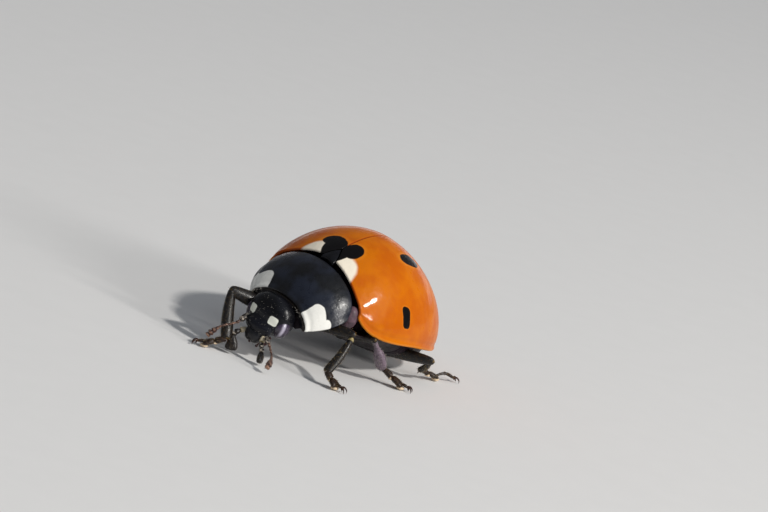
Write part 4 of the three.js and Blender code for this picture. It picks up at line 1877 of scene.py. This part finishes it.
@dataclass(frozen=True)
class LegShape:
    """What all legs share. Profiles are rows of fraction along, half width and half thickness;
    those of thigh, shin, club and the foot's first segment are times the leg's own widths."""

    thigh: Knots = (
        (0.03, 0.7, 0.6), (0.2, 0.85, 0.62), (0.5, 1.0, 0.68), (0.8, 0.85, 0.6), (0.96, 0.68, 0.5),
        (1.03, 0.45, 0.35), (1.06, 0.05, 0.05),
    )
    root: Point = (0.2, 0.2, 0.18)
    shin: Knots = ((0.08, 0.66, 0.6), (0.25, 0.85, 0.7), (0.6, 1.0, 0.78), (0.9, 0.98, 0.76))
    club: Knots = ((0.1, 0.38, 0.36), (0.3, 0.5, 0.45), (0.5, 0.95, 0.8), (0.8, 1.0, 0.85))
    shin_top: Knots = ((0.0, 0.1, 0.1), (0.01, 0.5, 0.45))
    shin_end: Knots = ((0.98, 0.75, 0.6), (1.0, 0.1, 0.1))
    bow: float = 0.04
    spur: Knots = ((0, 0.018, 0.018), (0.6, 0.014, 0.014), (1, 0.002, 0.002))
    first: Knots = ((0.1, 0.07, 0.06), (0.7, 0.095, 0.08), (0.95, 0.09, 0.07))
    slim: Knots = ((0, 0.03, 0.03), (0.3, 0.04, 0.04), (0.8, 0.055, 0.05), (1, 0.02, 0.02))
    claw: Knots = ((0, 0.032, 0.03), (0.3, 0.03, 0.026), (0.7, 0.018, 0.016), (1, 0.002, 0.002))
    tooth: Knots = ((0, 0.026, 0.024), (0.6, 0.018, 0.016), (1, 0.002, 0.002))
    hook: tuple = ((0.0, 0.0), (0.11, 0.03), (0.2, -0.04), (0.22, -0.14))  # forward and up
    tooth_path: tuple = ((0.06, 0.0), (0.09, -0.05), (0.11, -0.09))
    sole_up: float = 0.052  # lowest middle of a pad
    sole_half: float = 0.05  # half thickness of a pad
    hair_up: float = 0.004  # lowest place of a hair of the foot
    thigh_hair: Coat = Coat(130, 0.08, 0.0028, lean=1.3, seed=11)
    shin_hair: Coat = Coat(300, 0.075, 0.0028, lean=1.3, seed=12)
    foot_hair: Coat = Coat(240, 0.065, 0.0028, lean=1.2, seed=13)


SHAPE = LegShape()


@dataclass(frozen=True)
class Leg:
    """One leg. Knee, ankle and toe are placed over the floor, in millimetres."""

    pair: Pair
    side: Side
    knee: Point
    ankle: Point
    toe: Point
    femur_width: float = 0.17
    tibia_width: float = 0.14
    lift: float = 0.0  # how far the thigh's end lies above the joint
    drop: float = 0.0  # how far the hip lies below the usual place
    clubbed: bool = False  # a shin that is slender above and broad below
    claw_reach: float = 0.2
    claw_arch: float = 0.05
    foot: float = 1.0  # width of the foot's segments against the usual
    pale_knee_ball: float = 0.0  # radius of a pale ball at the knee

    @property
    def word(self) -> str:
        """The leg as it stands in names."""
        return f"{self.pair.value}_{self.side.word}"

    def hip(self) -> Array:
        """The hip over the floor."""
        x, y, z = HIPS[self.pair]
        return STANCE.over_floor(np.array([self.side.value * x, y, z - self.drop]))

    def bend_normal(self) -> Array:
        """The unit normal of the plane that the leg bends in."""
        knee = np.array(self.knee)
        return unit(np.cross(knee - self.hip(), np.array(self.ankle) - knee))

    def make_femur(self, finishes: Finishes) -> None:
        """Makes coxa, trochanter and femur: a rounded root, then a flattened spindle.

        The spindle's path runs past the knee by half its length, so 2/3 of the path is the thigh.

        Args:
            finishes: The materials.
        """
        hip, knee = self.hip(), self.knee + self.lift * UP
        spindle = [(0.0, 0.05, 0.05), *widened(SHAPE.thigh, self.femur_width)]
        profile = through(spindle, np.linspace(0, 1, 60))
        path = np.array([hip, (hip + knee) / 2, knee, knee + (knee - hip) / 2])
        profile[:, 0] *= 2 / 3
        shell = carry(path, profile, self.bend_normal(), 22)
        shell.chart[:, 0] *= 1.5 / SHAPE.thigh[-1][0]
        root = moved(ball((0, 0, 0), SHAPE.root, rows=24, columns=32), hip)
        root.chart[:, 0] = 0.5
        coat = SHAPE.thigh_hair.grow(shell, knee - hip)
        parts = [(shell, finishes.leg), (root, finishes.leg), (coat, finishes.gold_hair)]
        make_piece(f"thigh_{self.word}", parts, (f"femur_{self.word}",), Space.FLOOR)

    def make_tibia(self, finishes: Finishes) -> None:
        """Makes the shin: slender at the knee, wider below, with two spurs at its end.

        Args:
            finishes: The materials.
        """
        knee, ankle, flat = np.array(self.knee), np.array(self.ankle), self.bend_normal()
        body = SHAPE.club if self.clubbed else SHAPE.shin
        rows = widened((*SHAPE.shin_top, *body, *SHAPE.shin_end), self.tibia_width)
        down = unit(ankle - knee)
        out = np.cross(down, flat)
        shell = limb([knee, (knee + ankle) / 2 + SHAPE.bow * out, ankle], rows, flat, 60, 22)
        spurs = []
        for sign in (-1, 1):
            start = ankle - 0.08 * down + 0.06 * sign * flat
            path = [start, start + 0.08 * down, start + 0.18 * down + 0.03 * sign * flat]
            spurs.append(limb(path, SHAPE.spur, out, 12, 8))
        coat = SHAPE.shin_hair.grow(shell, down)
        # the broad shin takes the grey with painted reflection
        skin = finishes.shin if self.clubbed else finishes.leg
        hair = finishes.pale_hair if self.clubbed else finishes.gold_hair
        parts = [(shell, skin), (join(spurs), finishes.claw), (coat, hair)]
        if self.pale_knee_ball:
            radii = (self.pale_knee_ball, self.pale_knee_ball, 1.3 * self.pale_knee_ball)
            parts.append((moved(ball((0, 0, 0), radii, rows=20, columns=28), knee), finishes.joint))
        make_piece(f"shin_{self.word}", parts, (f"tibia_{self.word}",), Space.FLOOR)

    def segments(self, ankle: Array, front: Array, mid: Array, end: Array, along: Array) -> Shell:
        """The foot's horn: two broad segments and a slim one that ends in the claws.

        Args:
            ankle: The ankle.
            front: The front end of the broad segments.
            mid: Where they meet.
            end: The end of the slim segment.
            along: The direction of the foot.

        Returns:
            All three in one shell.
        """
        w = self.foot
        heel = ankle + 0.02 * UP
        first = [(0, 0.03, 0.03), *widened(SHAPE.first, w), (1, 0.02, 0.02)]
        second = [(0, 0.05, 0.04), (0.2, 0.1 * w, 0.07 * w), (0.7, 0.15 * w, 0.075 * w)]
        second += [(0.93, 0.13 * w, 0.06), (1, 0.03, 0.01)]
        start = front - 0.12 * along + 0.02 * UP
        return join(
            [
                limb([heel, (heel + mid) / 2 + 0.02 * UP, mid], first, UP, 30, 18),
                limb([mid, (mid + front) / 2 + 0.02 * UP, front + 0.04 * along], second, UP, 30, 22),
                limb([start, (start + end) / 2 + self.claw_arch * UP, end], SHAPE.slim, UP, 24, 14),
            ]
        )

    def claws(self, end: Array, along: Array) -> Shell:
        """Two hooked claws, each with a tooth at its base.

        Args:
            end: The end of the slim segment.
            along: The direction of the foot.

        Returns:
            Both in one shell.
        """
        across = np.cross(UP, along)
        start = end - 0.04 * along
        made = []
        for sign in (-1, 1):
            out = unit(along + 0.55 * sign * across)
            hook = [start + ahead * out + rise * UP for ahead, rise in SHAPE.hook]
            tooth = [start + ahead * out + rise * UP for ahead, rise in SHAPE.tooth_path]
            made.append(limb(hook, SHAPE.claw, across, 24, 10))
            made.append(limb(tooth, SHAPE.tooth, across, 14, 8))
        return join(made)

    def make_tarsus(self, finishes: Finishes) -> None:
        """Makes the foot: two broad segments with pads, a slim claw segment and two claws.

        Args:
            finishes: The materials.
        """
        ankle, toe = np.array(self.ankle), np.array(self.toe)
        along = unit((toe - ankle) * [1, 1, 0])
        pad_end = toe * [1, 1, 0]
        mid = ankle + 0.5 * (pad_end - ankle) + 0.08 * UP
        front = pad_end + 0.12 * UP
        end = front + self.claw_reach * along + 0.03 * UP
        horn = self.segments(ankle, front, mid, end, along)
        soles = []
        for where, size in ((mid - 0.05 * UP, 0.085), (front - 0.045 * UP - 0.02 * along, 0.12)):
            where[2] = max(where[2], SHAPE.sole_up)
            block = ball((0, 0, 0), (size, size, SHAPE.sole_half), (0.8, 0.8, 0.7), 20, 32)
            soles.append(moved(block, where))
        coat = SHAPE.foot_hair.grow(horn, along - 0.3 * UP)
        coat.points[:, 2] = np.maximum(coat.points[:, 2], SHAPE.hair_up)
        claws = self.claws(end, along)
        parts = [(horn, finishes.foot), (join(soles), finishes.pad), (claws, finishes.claw)]
        parts.append((coat, finishes.gold_hair))
        make_piece(f"foot_{self.word}", parts, (f"tarsus_{self.word}",), Space.FLOOR)

    def make(self, finishes: Finishes) -> None:
        """Makes the three pieces of the leg.

        Args:
            finishes: The materials.
        """
        self.make_femur(finishes)
        self.make_tibia(finishes)
        self.make_tarsus(finishes)


LEGS = (
    Leg(
        Pair.FRONT, Side.LEFT, knee=(2.17, 0.0, 1.4), ankle=(2.23, -0.89, 0.42),
        toe=(2.65, -0.8, 0.0), femur_width=0.2, tibia_width=0.15, lift=0.2, foot=1.3,
        pale_knee_ball=0.085,
    ),
    Leg(
        Pair.FRONT, Side.RIGHT, knee=(-1.46, -1.62, 1.72), ankle=(-0.74, -2.19, 0.4),
        toe=(-1.22, -2.6, 0.0), femur_width=0.25, tibia_width=0.195, foot=1.25, drop=0.24,
    ),
    Leg(
        Pair.MIDDLE, Side.LEFT, knee=(2.3, 1.0, 1.42), ankle=(2.3, 1.75, 0.48),
        toe=(2.97, 2.08, 0.0), femur_width=0.15, tibia_width=0.2, clubbed=True, foot=1.25,
    ),
    Leg(Pair.MIDDLE, Side.RIGHT, (-2.62, 1.6, 1.62), (-2.75, 2.45, 0.45), (-2.95, 2.95, 0.0)),
    Leg(
        Pair.HIND, Side.LEFT, knee=(2.74, 3.6, 0.8), ankle=(2.25, 3.84, 0.3), toe=(2.46, 4.51, 0.0),
        femur_width=0.24, tibia_width=0.1, claw_reach=0.7, claw_arch=0.13,
    ),
    Leg(Pair.HIND, Side.RIGHT, (-2.7, 3.75, 1.35), (-2.25, 5.05, 0.42), (-2.55, 5.5, 0.0)),
)


# ---- Studio ----


def towards(azimuth: float, elevation: float) -> Array:
    """A unit vector from its angles in radians. Azimuth 0 is ahead and a quarter turn is left."""
    flat = np.cos(elevation)
    return np.array([np.sin(azimuth) * flat, -np.cos(azimuth) * flat, np.sin(elevation)])


@dataclass(frozen=True)
class Lamp:
    """A round or tall soft light. Azimuth 0 lies ahead of the animal and 90 on its left."""

    name: str
    azimuth: float
    elevation: float
    distance: float
    size: tuple[float, float]
    power: float
    colour: Colour = (1.0, 1.0, 1.0)

    def make(self, aim: Array) -> None:
        """Hangs the light, turned to the middle of the animal.

        Args:
            aim: The middle, in metres.
        """
        back = Vector(towards(*np.radians([self.azimuth, self.elevation])))
        light = bpy.data.lights.new(self.name, "AREA")
        light.shape = "ELLIPSE"
        light.size, light.size_y = self.size
        light.energy = self.power
        light.color = self.colour
        made = link(self.name, light)
        made.location = Vector(aim) + back * self.distance
        made.rotation_euler = back.to_track_quat("Z", "Y").to_euler()
        made.visible_camera = False


@dataclass
class Studio:
    """Floor, lights and camera."""

    floor_half: float = 1.5  # metres
    floor_sides: int = 48
    floor_rings: int = 12
    room_colour: tuple[float, ...] = (0.9, 0.94, 1.0, 1.0)
    room_strength: float = 0.2
    lens: float = 215.25
    sensor: float = 36.0
    distance: float = 140.0
    azimuth: float = 32.0
    elevation: float = 10.2
    roll: float = 28.4
    aside: float = 2.485
    above: float = 1.29
    clip: tuple[float, float] = (0.005, 20.0)
    lamps: tuple[Lamp, ...] = (
        Lamp("sun", 95.0, 42.0, 0.3, (0.024, 0.024), 0.58, (1.0, 0.97, 0.92)),
        Lamp("window", 91.5, 19.0, 0.3, (0.018, 0.1), 0.35, (1.0, 0.97, 0.94)),
        Lamp("sky", 80.0, 55.0, 0.35, (0.6, 0.6), 0.2, (0.8, 0.9, 1.0)),
        Lamp("back", -155.0, 7.0, 0.3, (0.34, 0.06), 0.06, (1.0, 0.96, 0.97)),
    )

    def make_floor(self) -> None:
        """Makes the pale floor, a disc on a grid of rings that grow outwards."""
        sides = self.floor_sides
        angle = circle(sides)[None]
        radius = np.linspace(0, 1, self.floor_rings)[1:, None] ** 2 * self.floor_half
        flat = np.stack([radius * np.cos(angle), radius * np.sin(angle), 0 * (radius + angle)], -1)
        points = np.concatenate([flat.reshape(-1, 3), [[0, 0, 0]]])
        rim = np.arange(sides)
        hub = np.stack([np.full(sides, len(points) - 1), rim, (rim + 1) % sides], -1)
        faces = np.concatenate([grid_faces(len(flat), sides, wrap=True), hub])
        a, b, c = np.moveaxis(points[faces], 1, 0)
        rising = np.cross(b - a, c - a)[:, 2:] > 0
        faces = np.where(rising, faces, faces[:, ::-1])
        mesh = bpy.data.meshes.new("floor")
        mesh.from_pydata(points.tolist(), [], faces.tolist())
        mesh.materials.append(FloorPaint().dress())
        link("floor", mesh)

    def make_world(self) -> None:
        """Gives the room an even pale light."""
        world = bpy.data.worlds.new("room")
        world.use_nodes = True
        shade = world.node_tree.nodes["Background"]
        shade.inputs["Color"].default_value = self.room_colour
        shade.inputs["Strength"].default_value = self.room_strength
        bpy.context.scene.world = world

    def make_camera(self) -> None:
        """Places the camera. Its right, up and back directions are worked out for the body frame
        from azimuth, elevation and roll, and turned with the stance."""
        a, e, w = np.radians([self.azimuth, self.elevation, self.roll])
        back = towards(a, e)
        level = np.array([np.cos(a), np.sin(a), 0.0])
        over = np.cross(back, level)
        right = np.cos(w) * level + np.sin(w) * over
        up = np.cos(w) * over - np.sin(w) * level
        aim = self.aside * right + self.above * up
        spot = STANCE.place(aim + self.distance * back, Space.BODY)
        turn = STANCE.turn() @ np.stack([right, up, back], -1)
        data = bpy.data.cameras.new("view")
        data.lens = self.lens
        data.sensor_width = self.sensor
        data.clip_start, data.clip_end = self.clip
        made = link("view", data)
        made.matrix_world = Matrix.Translation(Vector(spot)) @ Matrix(turn.tolist()).to_4x4()
        bpy.context.scene.camera = made

    def make(self) -> None:
        """Makes the whole studio."""
        low, high = CAD_BOX
        self.make_floor()
        self.make_world()
        for lamp in self.lamps:
            lamp.make((low + high) / 2)
        self.make_camera()


# ---- Main ----


def main() -> None:
    """Builds the studio and the animal, piece by piece."""
    logging.basicConfig(level=logging.INFO, format="%(name)s: %(message)s")
    bpy.context.scene.view_settings.view_transform = "Standard"
    finishes = Finishes()
    Studio().make()
    body = (WingCases(), Scutellum(), Trunk(), Pronotum(), Head(), Feelers(), LEFT_PALP, RIGHT_PALP)
    for assembly in (*body, *LEGS):
        assembly.make(finishes)


if __name__ == "__main__":
    main()
